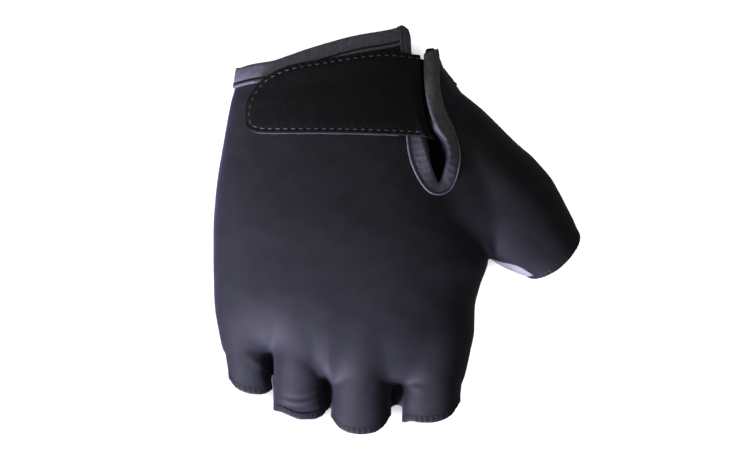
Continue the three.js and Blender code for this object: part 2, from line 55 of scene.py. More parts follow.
PALM = table("y left right bottom seam top lag", [
    (86.0, -58.0, 11.0, 1.3, 13.5, 26.0, 0), (72.0, -59.6, 14.4, 1.3, 13.5, 27.0, 0),
    (61.4, -60.7, 17.5, 1.3, 13.5, 28.2, 0), (54.0, -61.6, 22.8, 1.3, 13.4, 29.6, 0),
    (47.7, -63.2, 24.9, 0.8, 13.3, 31.0, 0), (32.5, -66.0, 29.4, -0.9, 13.0, 33.5, 0),
    (14.3, -68.8, 32.4, -1.5, 13.0, 35.2, 0), (-1.0, -69.8, 34.2, -1.5, 13.0, 36.0, 0),
    (-11.0, -69.8, 34.4, -1.5, 13.0, 35.6, 0), (-22.0, -69.6, 31.0, -1.5, 13.0, 34.6, 0),
    (-30.0, -69.2, 29.2, -1.4, 13.0, 33.4, 1.5), (-38.5, -68.4, 29.0, -1.1, 13.0, 31.6, 4.6),
    (-46.6, -67.4, 27.4, -0.6, 13.0, 29.0, 8.0), (-53.0, -66.6, 25.8, 0.3, 13.0, 25.8, 10.6),
    (-57.2, -65.4, 24.0, 2.4, 13.0, 22.0, 11.5), (-59.0, -63.4, 22.0, 5.0, 13.0, 18.6, CROTCH_DROP),
])
LAG_FROM, LAG_TO = -26.0, -47.0
FINGER_ROOT_Y = -32.0
FINGERS = [
    dict(name="little", rootX=-57.6, tipX=-55.4, rootHalf=9.8, tipHalf=7.6, tipY=-62.4, rootTop=22.5, tipTop=17.0, bow=5.0),
    dict(name="ring", rootX=-37.4, tipX=-36.6, rootHalf=10.4, tipHalf=10.2, tipY=-72.9, rootTop=28.5, tipTop=19.5, bow=6.5),
    dict(name="middle", rootX=-13.7, tipX=-13.9, rootHalf=12.2, tipHalf=11.0, tipY=-77.7, rootTop=30.0, tipTop=21.0, bow=7.5),
    dict(name="index", rootX=13.8, tipX=12.4, rootHalf=12.8, tipHalf=10.4, tipY=-73.4, rootTop=26.5, tipTop=20.0, bow=6.0),
]
# The line of each hem seen from above: across is the share of the half width.
HEMS = table("across little ring middle index", [
    (-1.00, -56.8, -68.6, -71.2, -73.0), (-0.75, -59.9, -69.1, -75.0, -72.5),
    (-0.40, -61.5, -70.6, -76.9, -73.0), (0.00, -62.3, -71.9, -77.5, -73.1),
    (0.40, -62.5, -71.9, -77.0, -72.3), (0.75, -62.0, -70.8, -74.8, -70.2),
    (1.00, -60.8, -68.5, -70.6, -65.8),
])
THUMB_TIP, THUMB_DIR, THUMB_BOW = (60.06, -10.45), (0.677, -0.736), 4.4
THUMB = table("along upper lower bottom seam top", [
    (84.0, 14.4, 12.0, 3.0, 13.3, 20.5), (76.0, 14.9, 14.0, 1.2, 13.3, 23.0),
    (67.0, 16.3, 16.0, 0.2, 13.2, 25.6), (59.0, 17.4, 17.0, -0.5, 13.0, 27.4),
    (42.0, 18.2, 18.6, -1.0, 13.0, 28.8), (32.7, 19.2, 19.8, -1.0, 13.0, 28.3),
    (24.5, 19.0, 20.0, -0.5, 12.6, 26.8), (17.5, 17.6, 19.0, 0.2, 12.2, 25.0),
    (11.5, 16.0, 17.5, 0.7, 12.0, 23.2), (6.0, 14.5, 15.2, 1.2, 11.7, 21.4),
    (0.0, 12.4, 11.9, 2.0, 11.4, 19.6),
])
WEB = table("x y half bottom top", [
    (17.0, 34.0, 4.0, 6.0, 24.5), (21.0, 24.0, 8.0, 3.0, 27.4), (25.0, 13.5, 10.0, 1.0, 27.8),
    (28.5, 5.0, 9.5, 1.0, 26.8), (32.0, -4.0, 7.0, 2.0, 24.0), (34.6, -9.2, 4.6, 4.0, 20.5),
    (35.4, -11.2, 2.8, 6.0, 17.5),
])
CUFF = table("x y", [
    (-90.0, 52.0), (-61.4, 60.9), (-55.1, 62.7), (-47.3, 63.9), (-42.1, 65.6), (-34.3, 68.3), (-25.9, 70.8),
    (-18.6, 72.8), (-13.4, 73.9), (-6.7, 75.0), (-2.6, 75.8), (0.6, 76.7), (3.4, 77.0),
])
SLIT = table("y bandLeft left right bandRight", [
    (66.0, 1.2, 5.3, 9.9, 15.4), (56.0, 1.5, 5.5, 10.1, 15.7), (45.0, 2.2, 6.6, 11.5, 17.2),
    (38.0, 2.9, 8.8, 14.0, 20.2), (33.0, 3.4, 10.8, 17.6, 22.4), (28.0, 4.4, 12.1, 19.2, 23.4),
    (22.5, 6.2, 13.6, 17.6, 22.8),
])
FLAP_LIFT = dict(x=13.5, spreadLeft=4.2, spreadRight=8.0, height=4.6, fromY=16.0, toY=35.0)
# the strap as it is seen from above
STRAP_PLAN = table("x low high", [
    (-57.7, 41.3, 43.8), (-57.3, 39.6, 46.8), (-56.2, 38.2, 49.8), (-54.6, 37.3, 52.6), (-52.0, 36.8, 55.6),
    (-49.6, 36.7, 57.6), (-44.7, 36.6, 60.4), (-39.5, 36.6, 62.1), (-34.3, 36.6, 63.1), (-29.1, 36.6, 63.9),
    (-22.3, 36.5, 65.0), (-15.5, 36.4, 66.1), (-6.7, 36.1, 67.0), (-1.0, 35.9, 67.0), (4.8, 35.6, 66.2),
    (9.5, 35.3, 65.6), (14.0, 34.9, 65.0), (19.0, 36.0, 61.5),
])
STRAP_ROOT_X = 15.8
STRAP_OVER, STRAP_UNDER = 1.68, -(WALL + EASE + TAPE + 0.5 + STRAP)
THUMB_CROTCH = dict(x=43.5, y=-16.0, spread=9.5, height=5.4)


# ------------------------------------------------------------------ small tools
def column(t, key, name):
    """Smooth monotone interpolation of one column, straight on past its ends."""
    order = np.argsort(t[key])
    x, y = t[key][order], t[name][order]
    chord = np.diff(y) / np.diff(x)
    slope = np.empty_like(x)
    slope[0], slope[-1] = chord[0], chord[-1]
    a, b = chord[:-1], chord[1:]
    total = np.where(a + b == 0, 1, a + b)
    slope[1:-1] = np.where(a * b <= 0, 0, 2 * a * b / total)

    def f(v):
        v = np.asarray(v, float)
        i = np.clip(np.searchsorted(x, v) - 1, 0, len(x) - 2)
        h = x[i + 1] - x[i]
        t1 = np.clip((v - x[i]) / h, 0, 1)
        t0 = 1 - t1
        inner = (y[i] * (1 + 2 * t1) * t0**2 + h * slope[i] * t1 * t0**2
                 + y[i + 1] * t1**2 * (3 - 2 * t1) - h * slope[i + 1] * t1**2 * t0)
        return inner + np.minimum(v - x[0], 0) * slope[0] + np.maximum(v - x[-1], 0) * slope[-1]

    return f


def columns(t, key):
    return {n: column(t, key, n) for n in t if n != key}


def smooth(a, b, v):
    t = np.clip((v - a) / (b - a), 0, 1)
    return t * t * (3 - 2 * t)


def mix(a, b, t):
    return a + (b - a) * t


def smin(a, b, k):
    h = np.maximum(k - np.abs(a - b), 0) / k
    return np.minimum(a, b) - h * h * k / 4


def smax(a, b, k):
    return -smin(-a, -b, k)


def unit(v):
    return v / np.maximum(np.linalg.norm(v, axis=-1, keepdims=True), 1e-9)


palm, thumb, slit = columns(PALM, "y"), columns(THUMB, "along"), columns(SLIT, "y")
hems = columns(HEMS, "across")
cuff_y = column(CUFF, "x", "y")
strap_low, strap_high = column(STRAP_PLAN, "x", "low"), column(STRAP_PLAN, "x", "high")
web_run = unit(np.array([WEB["x"][-1] - WEB["x"][0], WEB["y"][-1] - WEB["y"][0]]))
web_along = (WEB["x"] - WEB["x"][0]) * web_run[0] + (WEB["y"] - WEB["y"][0]) * web_run[1]
web_off = (WEB["y"] - WEB["y"][0]) * web_run[0] - (WEB["x"] - WEB["x"][0]) * web_run[1]
web = columns(dict(along=web_along, off=web_off, half=WEB["half"], bottom=WEB["bottom"], top=WEB["top"]), "along")


def lag_share(x):
    return np.clip((LAG_FROM - x) / (LAG_FROM - LAG_TO), 0, 1)


def flap_lift(x, y):
    spread = np.where(x < FLAP_LIFT["x"], FLAP_LIFT["spreadLeft"], FLAP_LIFT["spreadRight"])
    return (FLAP_LIFT["height"] * np.exp(-(((x - FLAP_LIFT["x"]) / spread) ** 2))
            * smooth(FLAP_LIFT["fromY"], FLAP_LIFT["toY"], y))


def seam_z(x, y):
    c = THUMB_CROTCH
    return SEAM_Z + c["height"] * np.exp(-((x - c["x"]) ** 2 + (y - c["y"]) ** 2) / c["spread"] ** 2)


# ------------------------------------------------------------------ the body as a field: negative inside
def oval(across, z, upper, lower, bottom, seam, top):
    """Distance to one section, nearly true near its edge."""
    w = np.where(across > 0, upper, lower)
    u = across / w
    dz = z - seam
    above = dz >= 0
    h = np.maximum(np.where(above, (top - seam) * (1 + LEAN * np.clip(u, -2, 2)), seam - bottom), 0.5)
    v = np.abs(dz) / h + 1e-4
    u = np.abs(u) + 1e-4
    p = np.where(above, TOP_POWER, BOTTOM_POWER)
    uu = np.where(above, u ** (TOP_POWER - 1), u ** (BOTTOM_POWER - 1))
    vv = v ** (p - 1)
    m = u * uu + v * vv
    r = m ** (1 / p)
    slope = r / m * np.sqrt((uu / w) ** 2 + (vv / h) ** 2)
    return (r - 1) / np.maximum(slope, 0.5 / np.maximum(w, h))


def finger_rows(f, y):
    t = np.clip((y - FINGER_ROOT_Y) / (f["tipY"] - FINGER_ROOT_Y), 0, 1.08)
    return dict(
        middle=mix(f["rootX"], f["tipX"], t),
        half=mix(f["rootHalf"], f["tipHalf"], t),
        bottom=mix(4.5, 0.6, smooth(0, 0.4, t)) + 0.8 * smooth(0.4, 1, t),
        top=mix(f["rootTop"], f["tipTop"], t * t * (1.6 - 0.6 * t)),
    )


def finger_field(f, x, y, z):
    r = finger_rows(f, y)
    d = oval(x - r["middle"], z, r["half"], r["half"], r["bottom"], SEAM_Z, r["top"])
    return smax(d, y + 24.0, 4.0)


def palm_row(x, y):
    at = y + 0.0 * x
    for _ in range(7):
        at = y - palm["lag"](np.clip(at, -59, 0)) * lag_share(x)
    return at


def palm_field(x, y, z):
    at = palm_row(x, y)
    c = np.clip(at, -59, 90)
    left, right, seam = palm["left"](c), palm["right"](c), palm["seam"](c)
    bottom, top = palm["bottom"](c), palm["top"](c)
    half = (right - left) / 2
    across = x - (left + right) / 2
    zz = z - flap_lift(x, y) * smooth(15, 23, z)
    d = oval(across, zz, half, half, bottom, seam, top)
    depth = smooth(0, 0.7, (seam - z) / (seam - bottom))
    between = 1 - np.clip(np.abs(across / half), 0, 1) ** 4
    end = -59.0 - WEB_REACH * depth * between - at
    return smax(d, end, 4.0)


def thumb_place(x, y):
    dx, dy = x - THUMB_TIP[0], y - THUMB_TIP[1]
    along = -(dx * THUMB_DIR[0] + dy * THUMB_DIR[1])
    across = -dx * THUMB_DIR[1] + dy * THUMB_DIR[0]
    return along, across


def thumb_field(x, y, z):
    along, across = thumb_place(x, y)
    a = np.clip(along, -7, 84)
    d = oval(across, z, thumb["upper"](a), thumb["lower"](a), thumb["bottom"](a), thumb["seam"](a), thumb["top"](a))
    return smax(d, along - 84.0, 4.0)


def web_field(x, y, z):
    dx, dy = x - WEB["x"][0], y - WEB["y"][0]
    along = dx * web_run[0] + dy * web_run[1]
    a = np.clip(along, 0, web_along[-1])
    across = dy * web_run[0] - dx * web_run[1] - web["off"](a)
    d = oval(across, z, web["half"](a), web["half"](a), web["bottom"](a), SEAM_Z, web["top"](a))
    return smax(d, np.abs(along - web_along[-1] / 2) - web_along[-1] / 2 + 0.8, 3.0)


# The hollows at the foot of the gaps between the fingers: place, half width, length and depth.
HOLLOWS = table("x y wide long depth", [
    (-48.9, -51.5, 1.8, 5.0, 2.0), (-27.2, -60.5, 1.5, 4.6, 3.4), (-26.2, -67.0, 0.9, 4.0, 1.6),
    (0.9, -61.5, 2.2, 3.4, 1.4),
])


def hollows(x, y, z):
    total = 0.0
    for i in range(len(HOLLOWS["x"])):
        h = {k: v[i] for k, v in HOLLOWS.items()}
        total = total + h["depth"] * np.exp(-(((x - h["x"]) / h["wide"]) ** 2) - ((y - h["y"]) / h["long"]) ** 2)
    return total * smooth(9, 16, z)


def field(x, y, z):
    base = palm_field(x, y, z)
    made = base
    for f in FINGERS:
        made = np.minimum(made, smin(base, finger_field(f, x, y, z), 3.0))
    side = smin(thumb_field(x, y, z), web_field(x, y, z), 1.2 + 3.8 * smooth(-8, 6, y))
    # The cloth runs smoothly from the palm to the thumb, and tightly at the crotch and at the wrist.
    made = smin(made, side, 0.9 + 7.1 * smooth(-9, 8, y) * smooth(36, 22, y))
    return smax(made + hollows(x, y, z), -z, 1.2)


def gradient(p, e=0.15):
    x, y, z = p.T
    g = [field(*(q + s * e * d for q, d in zip((x, y, z), axis))) for axis in np.eye(3) for s in (1, -1)]
    return np.stack([g[0] - g[1], g[2] - g[3], g[4] - g[5]], 1) / (2 * e)


def onto(p, steps=2):
    """Moves points to the surface along the field's slope, and gives the outward normals there."""
    for _ in range(steps):
        g = gradient(p)
        f = field(*p.T)
        p = p - g * (f / np.maximum((g**2).sum(1), 0.2))[:, None]
    return p, unit(gradient(p))


# ------------------------------------------------------------------ meshes
def surface(step):
    """The field's zero surface as a mesh of triangles (surface nets)."""
    xs = np.arange(-73, 74.5, step)
    ys = np.arange(-82, 84, step)
    zs = np.arange(-1.8, 41, step)
    f = field(xs[:, None, None], ys[None, :, None], zs[None, None, :])
    s = f < 0
    n = np.array(f.shape)
    cells = np.zeros(n - 1, bool)
    first = s[:-1, :-1, :-1]
    for i in (0, 1):
        for j in (0, 1):
            for k in (0, 1):
                cells |= s[i:n[0] - 1 + i, j:n[1] - 1 + j, k:n[2] - 1 + k] != first
    where = np.argwhere(cells)
    index = -np.ones(cells.shape, np.int64)
    index[cells] = np.arange(len(where))
    corner = {(i, j, k): f[where[:, 0] + i, where[:, 1] + j, where[:, 2] + k]
              for i in (0, 1) for j in (0, 1) for k in (0, 1)}
    total = np.zeros((len(where), 3))
    count = np.zeros(len(where))
    for a in corner:
        for axis in range(3):
            if a[axis]:
                continue
            b = tuple(1 if q == axis else a[q] for q in range(3))
            fa, fb = corner[a], corner[b]
            cross = (fa < 0) != (fb < 0)
            t = np.where(cross, fa / np.where(fa == fb, 1, fa - fb), 0)
            at = np.repeat(np.array([a], float), len(where), 0)
            at[:, axis] = t
            total += at * cross[:, None]
            count += cross
    points = (where + total / count[:, None]) * step + np.array([xs[0], ys[0], zs[0]])
    quads = []
    for axis in range(3):
        lo = [slice(1, n[q] - 1) for q in range(3)]
        lo[axis] = slice(0, n[axis] - 1)
        hi = list(lo)
        hi[axis] = slice(1, n[axis])
        a, b = s[tuple(lo)], s[tuple(hi)]
        at = np.argwhere(a != b)
        inside = a[a != b]
        base = at.copy()
        u, v = [q for q in range(3) if q != axis]
        base[:, u] += 1
        base[:, v] += 1
        ring = []
        for du, dv in ((-1, -1), (0, -1), (0, 0), (-1, 0)):
            c = base.copy()
            c[:, u] += du
            c[:, v] += dv
            ring.append(index[c[:, 0], c[:, 1], c[:, 2]])
        q = np.stack(ring, 1)
        flip = inside if axis != 1 else ~inside
        q[~flip] = q[~flip][:, ::-1]
        quads.append(q)
    quads = np.concatenate(quads)
    return points, quads


def split_quads(p, q):
    short = (np.linalg.norm(p[q[:, 0]] - p[q[:, 2]], axis=1)
             < np.linalg.norm(p[q[:, 1]] - p[q[:, 3]], axis=1))
    return np.concatenate([q[short][:, [0, 1, 2]], q[short][:, [0, 2, 3]],
                           q[~short][:, [0, 1, 3]], q[~short][:, [1, 2, 3]]])


def relax(p, tris, rounds):
    """Evens the mesh out along the surface."""
    e = np.concatenate([tris[:, [0, 1]], tris[:, [1, 2]], tris[:, [2, 0]]])
    for _ in range(rounds):
        total = np.zeros_like(p)
        count = np.zeros(len(p))
        np.add.at(total, e[:, 0], p[e[:, 1]])
        np.add.at(total, e[:, 1], p[e[:, 0]])
        np.add.at(count, e[:, 0], 1)
        np.add.at(count, e[:, 1], 1)
        p = mix(p, total / count[:, None], 0.5)
        p, _ = onto(p, 1)
    return p


def compact(p, tris, *more):
    used = np.unique(tris)
    new = -np.ones(len(p), np.int64)
    new[used] = np.arange(len(used))
    return (p[used], new[tris], *[m[used] for m in more])


def clip(p, tris, s):
    """Keeps what has s >= 0, cut clean along s = 0."""
    s = np.where(np.abs(s) < 0.07, 0.0, s)
    keep = s >= 0
    n = keep[tris].sum(1)
    whole = tris[n == 3]
    part = tris[(n == 1) | (n == 2)]
    if len(part) == 0:
        return compact(p, whole)
    kept = keep[part]
    one = kept.sum(1) == 1
    odd = np.where(one[:, None], kept, ~kept).argmax(1)
    r = np.take_along_axis(part, (odd[:, None] + np.arange(3)) % 3, 1)
    e = np.sort(np.concatenate([r[:, [0, 1]], r[:, [0, 2]]]), 1)
    pairs, back = np.unique(e, axis=0, return_inverse=True)
    back = back.ravel()
    sa, sb = s[pairs[:, 0]], s[pairs[:, 1]]
    t = np.clip(sa / np.where(sa == sb, 1, sa - sb), 0, 1)[:, None]
    new = mix(p[pairs[:, 0]], p[pairs[:, 1]], t)
    ab, ac = len(p) + back[: len(r)], len(p) + back[len(r):]
    a = [np.stack([r[:, 0], ab, ac], 1)[one],
         np.stack([ab, r[:, 1], r[:, 2]], 1)[~one],
         np.stack([ab, r[:, 2], ac], 1)[~one]]
    made = np.concatenate([whole, *a])
    made = made[(made[:, 0] != made[:, 1]) & (made[:, 1] != made[:, 2]) & (made[:, 0] != made[:, 2])]
    return compact(np.concatenate([p, new]), made)


def rim_edges(tris, count):
    e = np.concatenate([tris[:, [0, 1]], tris[:, [1, 2]], tris[:, [2, 0]]])
    key, back = e[:, 0] * count + e[:, 1], e[:, 1] * count + e[:, 0]
    return e[~np.isin(key, back)]


def shell(p, tris, normal, out, inn, steps=4, bulge=0.8):
    """A closed wall round a patch: its outer face moved out, its inner face moved in, and a rounded rim."""
    n = len(p)
    out = np.broadcast_to(np.asarray(out, float), n)
    inn = np.broadcast_to(np.asarray(inn, float), n)
    e = rim_edges(tris, n)
    outward = np.zeros((n, 3))
    side = np.cross(unit(p[e[:, 1]] - p[e[:, 0]]), normal[e[:, 0]])
    np.add.at(outward, e[:, 0], side)
    np.add.at(outward, e[:, 1], side)
    outward = unit(outward)
    rim = np.unique(e)
    place = -np.ones(n, np.int64)
    place[rim] = np.arange(len(rim))
    mid = p[rim] + normal[rim] * ((out - inn) / 2)[rim, None]
    half = ((out + inn) / 2)[rim, None]
    points = [p + normal * out[:, None], p - normal * inn[:, None]]
    rows = [rim]
    for j in range(1, steps):
        a = math.pi * j / steps
        rows.append(2 * n + (j - 1) * len(rim) + np.arange(len(rim)))
        points.append(mid + normal[rim] * half * math.cos(a) + outward[rim] * half * math.sin(a) * bulge)
    rows.append(n + rim)
    faces = [tris, tris[:, ::-1] + n]
    for lo, hi in zip(rows[:-1], rows[1:]):
        a, b = place[e[:, 0]], place[e[:, 1]]
        faces.append(np.stack([lo[b], lo[a], hi[a]], 1))
        faces.append(np.stack([lo[b], hi[a], hi[b]], 1))
    return np.concatenate(points), np.concatenate(faces)


def make(name, parts, look, replaces=(), extra=()):
    """One piece of one or more (points in mm, triangles or quads) lists. extra holds (look, mask of faces), where
    the mask may be a function of the faces' centres in mm."""
    points, faces, at = [], [], 0
    for p, t in parts:
        points.append(np.asarray(p, float))
        faces.extend((t + at).tolist() if isinstance(t, np.ndarray) else [[v + at for v in q] for q in t])
        at += len(p)
    mesh = bpy.data.meshes.new(name)
    points = np.concatenate(points)
    points[:, 2] = np.maximum(points[:, 2], 0.0)
    mesh.from_pydata((points * MM).tolist(), [], faces)
    mesh.update()
    mesh.polygons.foreach_set("use_smooth", np.ones(len(mesh.polygons), bool))
    mesh.materials.append(look)
    if extra:
        which = np.zeros(len(mesh.polygons), np.int32)
        for k, (other, mask) in enumerate(extra):
            mesh.materials.append(other)
            if callable(mask):
                centre = np.zeros(len(mesh.polygons) * 3)
                mesh.polygons.foreach_get("center", centre)
                mask = mask(centre.reshape(-1, 3) / MM)
            which[np.asarray(mask)] = k + 1
        mesh.polygons.foreach_set("material_index", which)
    obj = bpy.data.objects.new(name, mesh)
    bpy.context.scene.collection.objects.link(obj)
    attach(obj, "root")
    if replaces:
        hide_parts(*replaces)
    return obj


def loops(tris, count):
    """The rims of a patch as ordered lists of vertices."""
    e = rim_edges(tris, count)
    follow = {int(a): int(b) for a, b in e}
    found, seen = [], set()
    for start in follow:
        if start in seen:
            continue
        line, v = [], start
        while v in follow and v not in seen:
            seen.add(v)
            line.append(v)
            v = follow[v]
        found.append(line)
    return found


def resample(line, step, closed=False):
    line = np.asarray(line, float)
    if closed:
        line = np.concatenate([line, line[:1]])
    d = np.concatenate([[0], np.cumsum(np.linalg.norm(np.diff(line, axis=0), axis=1))])
    n = max(2, int(round(d[-1] / step)))
    at = np.linspace(0, d[-1], n + 1)
    made = np.stack([np.interp(at, d, line[:, i]) for i in range(line.shape[1])], 1)
    return made[:-1] if closed else made


def curve(rows, step):
    """A smooth line through a few points, in even steps. Extra columns go along."""
    rows = np.asarray(rows, float)
    d = np.concatenate([[0], np.cumsum(np.linalg.norm(np.diff(rows[:, :2], axis=0), axis=1))])
    t = dict(d=d, **{str(i): rows[:, i] for i in range(rows.shape[1])})
    f = [column(t, "d", str(i)) for i in range(rows.shape[1])]
    at = np.linspace(0, d[-1], max(2, int(d[-1] / step)))
    return np.stack([g(at) for g in f], 1)


def even(line, rounds, closed=False):
    """Takes the small steps out of a line."""
    line = line.copy()
    for _ in range(rounds):
        if closed:
            line = (np.roll(line, 1, 0) + 2 * line + np.roll(line, -1, 0)) / 4
        else:
            line[1:-1] = (line[:-2] + 2 * line[1:-1] + line[2:]) / 4
    return line


def sweep(line, normal, profile, closed=False, caps=True):
    """A profile of (across, up) points carried along a line. up is along the normal."""
    tangent = np.gradient(line, axis=0) if not closed else (np.roll(line, -1, 0) - np.roll(line, 1, 0))
    tangent = unit(tangent)
    side = unit(np.cross(normal, tangent))
    up = unit(np.cross(tangent, side))
    prof = np.asarray(profile, float)
    if prof.ndim == 2:
        prof = np.broadcast_to(prof, (len(line), *prof.shape))
    p = line[:, None] + side[:, None] * prof[..., :1] + up[:, None] * prof[..., 1:]
    n, m = p.shape[:2]
    i = np.arange(n if closed else n - 1)[:, None]
    j = np.arange(m)[None, :]
    a, b = i * m + j, i * m + (j + 1) % m
    c, d = ((i + 1) % n) * m + (j + 1) % m, ((i + 1) % n) * m + j
    quads = np.stack([a, d, c, b], -1).reshape(-1, 4)
    points = p.reshape(-1, 3)
    if caps and not closed:
        points = np.concatenate([points, p[:1].mean(1), p[-1:].mean(1)])
        k = np.arange(m)
        s = n * m
        first = np.stack([np.full(m, s), k, (k + 1) % m, np.full(m, s)], 1)[:, :3]
        last = np.stack([np.full(m, s + 1), (n - 1) * m + (k + 1) % m, (n - 1) * m + k], 1)
        return points, [*quads.tolist(), *first.tolist(), *last.tolist()]
    return points, quads.tolist()


def ring_profile(radius, sides=8, flat=1.0):
    a = np.arange(sides) * 2 * math.pi / sides
    return np.stack([np.cos(a) * radius, np.sin(a) * radius * flat], 1)


def join(parts):
    points, faces, at = [], [], 0
    for p, t in parts:
        points.append(p)
        faces.extend([[v + at for v in f] for f in (t.tolist() if hasattr(t, "tolist") else t)])
        at += len(p)
    return np.concatenate(points), faces


def stitches(start, end, normal, radius, lift, rings=6, sides=6):
    """Short threads from start to end points, each dipping into the cloth at both ends."""
    n = len(start)
    t = np.linspace(0, 1, rings)
    run = unit(end - start)
    side = unit(np.cross(normal, run))
    up = np.cross(run, side)
    a = np.arange(sides) * 2 * math.pi / sides
    rise = lift * np.sin(np.pi * t) ** 0.6 - 0.35 * radius
    swell = radius * (0.45 + 0.55 * np.sin(np.pi * t) ** 0.5)
    centre = start[:, None] + (end - start)[:, None] * t[None, :, None] + up[:, None] * rise[None, :, None]
    p = (centre[:, :, None]
         + side[:, None, None] * (np.cos(a)[None, None, :, None] * swell[None, :, None, None])
         + up[:, None, None] * (np.sin(a)[None, None, :, None] * swell[None, :, None, None]))
    i = np.arange(rings - 1)[:, None]
    j = np.arange(sides)[None, :]
    q = np.stack([i * sides + j, i * sides + (j + 1) % sides, (i + 1) * sides + (j + 1) % sides,
                  (i + 1) * sides + j], -1).reshape(-1, 4)
    q = np.concatenate([q + k * rings * sides for k in range(n)])
    return p.reshape(-1, 3), q


# ------------------------------------------------------------------ materials
def nodes_of(name):
    m = bpy.data.materials.new(name)
    m.use_nodes = True
    t = m.node_tree
    t.nodes.clear()
    out = t.nodes.new("ShaderNodeOutputMaterial")
    shader = t.nodes.new("ShaderNodeBsdfPrincipled")
    t.links.new(shader.outputs[0], out.inputs[0])
    where = t.nodes.new("ShaderNodeTexCoord")
    return m, t, shader, where


def add(t, kind, inputs=None, **settings):
    n = t.nodes.new("ShaderNode" + kind)
    for k, v in settings.items():
        setattr(n, k, v)
    for k, v in (inputs or {}).items():
        if isinstance(v, bpy.types.NodeSocket):
            t.links.new(v, n.inputs[k])
        else:
            n.inputs[k].default_value = v
    return n


def cloth(name, dark, light, grain, mottle, roughness, sheen, tint, bump, rib=None, specular=0.25, contrast=0.5,
          sheen_roughness=0.45):
    """A cloth: two shades mixed by a fine grain and a broad mottle, with a ribbed or napped relief."""
    m, t, shader, where = nodes_of(name)
    at = where.outputs["Object"]
    fine = add(t, "TexNoise", {"Vector": at, "Scale": 1 / (grain * MM), "Detail": 3.0, "Roughness": 0.6})
    broad = add(t, "TexNoise", {"Vector": at, "Scale": 1 / (mottle * MM), "Detail": 2.0, "Roughness": 0.5})
    both = add(t, "Mix", {0: contrast, 2: fine.outputs[0], 3: broad.outputs[0]}, data_type="FLOAT")
    shade = add(t, "MapRange", {0: both.outputs[0], 1: 0.34, 2: 0.66, 3: 0.0, 4: 1.0})
    colour = add(t, "Mix", {0: shade.outputs[0], 6: (*dark, 1), 7: (*light, 1)}, data_type="RGBA")
    t.links.new(colour.outputs[2], shader.inputs["Base Color"])
    height = fine.outputs[0]
    if rib:
        pitch_x, pitch_y, share = rib
        apart = add(t, "SeparateXYZ", {0: at})
        wobble = add(t, "TexNoise", {"Vector": at, "Scale": 180.0, "Detail": 1.0})
        sx = add(t, "Math", {0: apart.outputs[0], 1: 2 * math.pi / (pitch_x * MM)}, operation="MULTIPLY")
        sx = add(t, "Math", {0: wobble.outputs[0], 1: 5.0, 2: sx.outputs[0]}, operation="MULTIPLY_ADD")
        sy = add(t, "Math", {0: apart.outputs[1], 1: 2 * math.pi / (pitch_y * MM)}, operation="MULTIPLY")
        sy = add(t, "Math", {0: wobble.outputs[0], 1: 7.0, 2: sy.outputs[0]}, operation="MULTIPLY_ADD")
        cx = add(t, "Math", {0: sx.outputs[0]}, operation="SINE")
        cy = add(t, "Math", {0: sy.outputs[0]}, operation="SINE")
        knit = add(t, "Math", {0: cx.outputs[0], 1: cy.outputs[0]}, operation="MULTIPLY")
        knit = add(t, "MapRange", {0: knit.outputs[0], 1: -1.0, 2: 1.0, 3: 0.0, 4: 1.0})
        height = add(t, "Mix", {0: share, 2: fine.outputs[0], 3: knit.outputs[0]}, data_type="FLOAT").outputs[0]
    b = add(t, "Bump", {"Strength": bump, "Distance": 0.25 * MM, "Height": height})
    t.links.new(b.outputs[0], shader.inputs["Normal"])
    rough = add(t, "MapRange", {0: fine.outputs[0], 1: 0.3, 2: 0.7, 3: roughness - 0.06, 4: roughness + 0.06})
    t.links.new(rough.outputs[0], shader.inputs["Roughness"])
    shader.inputs["Specular IOR Level"].default_value = specular
    shader.inputs["Sheen Weight"].default_value = sheen
    shader.inputs["Sheen Roughness"].default_value = sheen_roughness
    shader.inputs["Sheen Tint"].default_value = (*tint, 1)
    return m


KNIT = cloth("black_stretch_knit", (0.009, 0.009, 0.0105), (0.015, 0.015, 0.018), 0.45, 7.0, 0.60,
             0.10, (0.62, 0.60, 1.0), 0.30, rib=(0.75, 0.6, 0.6), specular=0.18)
# black knit of the fourchettes and of the palm panel's inner face; also laid in the cuff tape's groove as painted shade
DARK_KNIT_AND_GROOVE_SHADE = cloth("black_side_knit_and_painted_groove_shade", (0.006, 0.006, 0.007), (0.012, 0.012, 0.013), 0.45, 6.0, 0.75,
             0.10, (0.6, 0.6, 0.9), 0.4, rib=(0.75, 0.6, 0.5))
SUEDE = cloth("pale_suede", (0.25, 0.245, 0.28), (0.36, 0.355, 0.39), 0.35, 5.0, 0.93,
              0.25, (0.9, 0.88, 1.0), 0.5)
GREY_TAPE = cloth("grey_tape", (0.041, 0.040, 0.052), (0.098, 0.096, 0.118), 0.55, 1.6, 0.72,
                  0.12, (0.8, 0.78, 1.0), 0.6, rib=(1.1, 0.55, 0.4), contrast=0.45)
# painted light: the same grey binding tape as on the slit, made lighter on the cuff
CUFF_TAPE_PAINTED_LIGHTER = cloth("grey_tape_painted_lighter_on_cuff", (0.058, 0.057, 0.072), (0.134, 0.131, 0.160), 0.55, 1.6, 0.72,
                  0.12, (0.8, 0.78, 1.0), 0.6, rib=(1.1, 0.55, 0.4), contrast=0.45)
# painted light: a lighter, greyer copy of the same binding tape, for the slit's right leg
LEG_TAPE_PAINTED_LIGHTER = cloth("grey_tape_painted_lighter_on_right_leg", (0.060, 0.060, 0.064), (0.120, 0.119, 0.126), 0.55, 1.6, 0.74,
                 0.08, (0.9, 0.9, 1.0), 0.6, rib=(1.1, 0.55, 0.4), contrast=0.45)
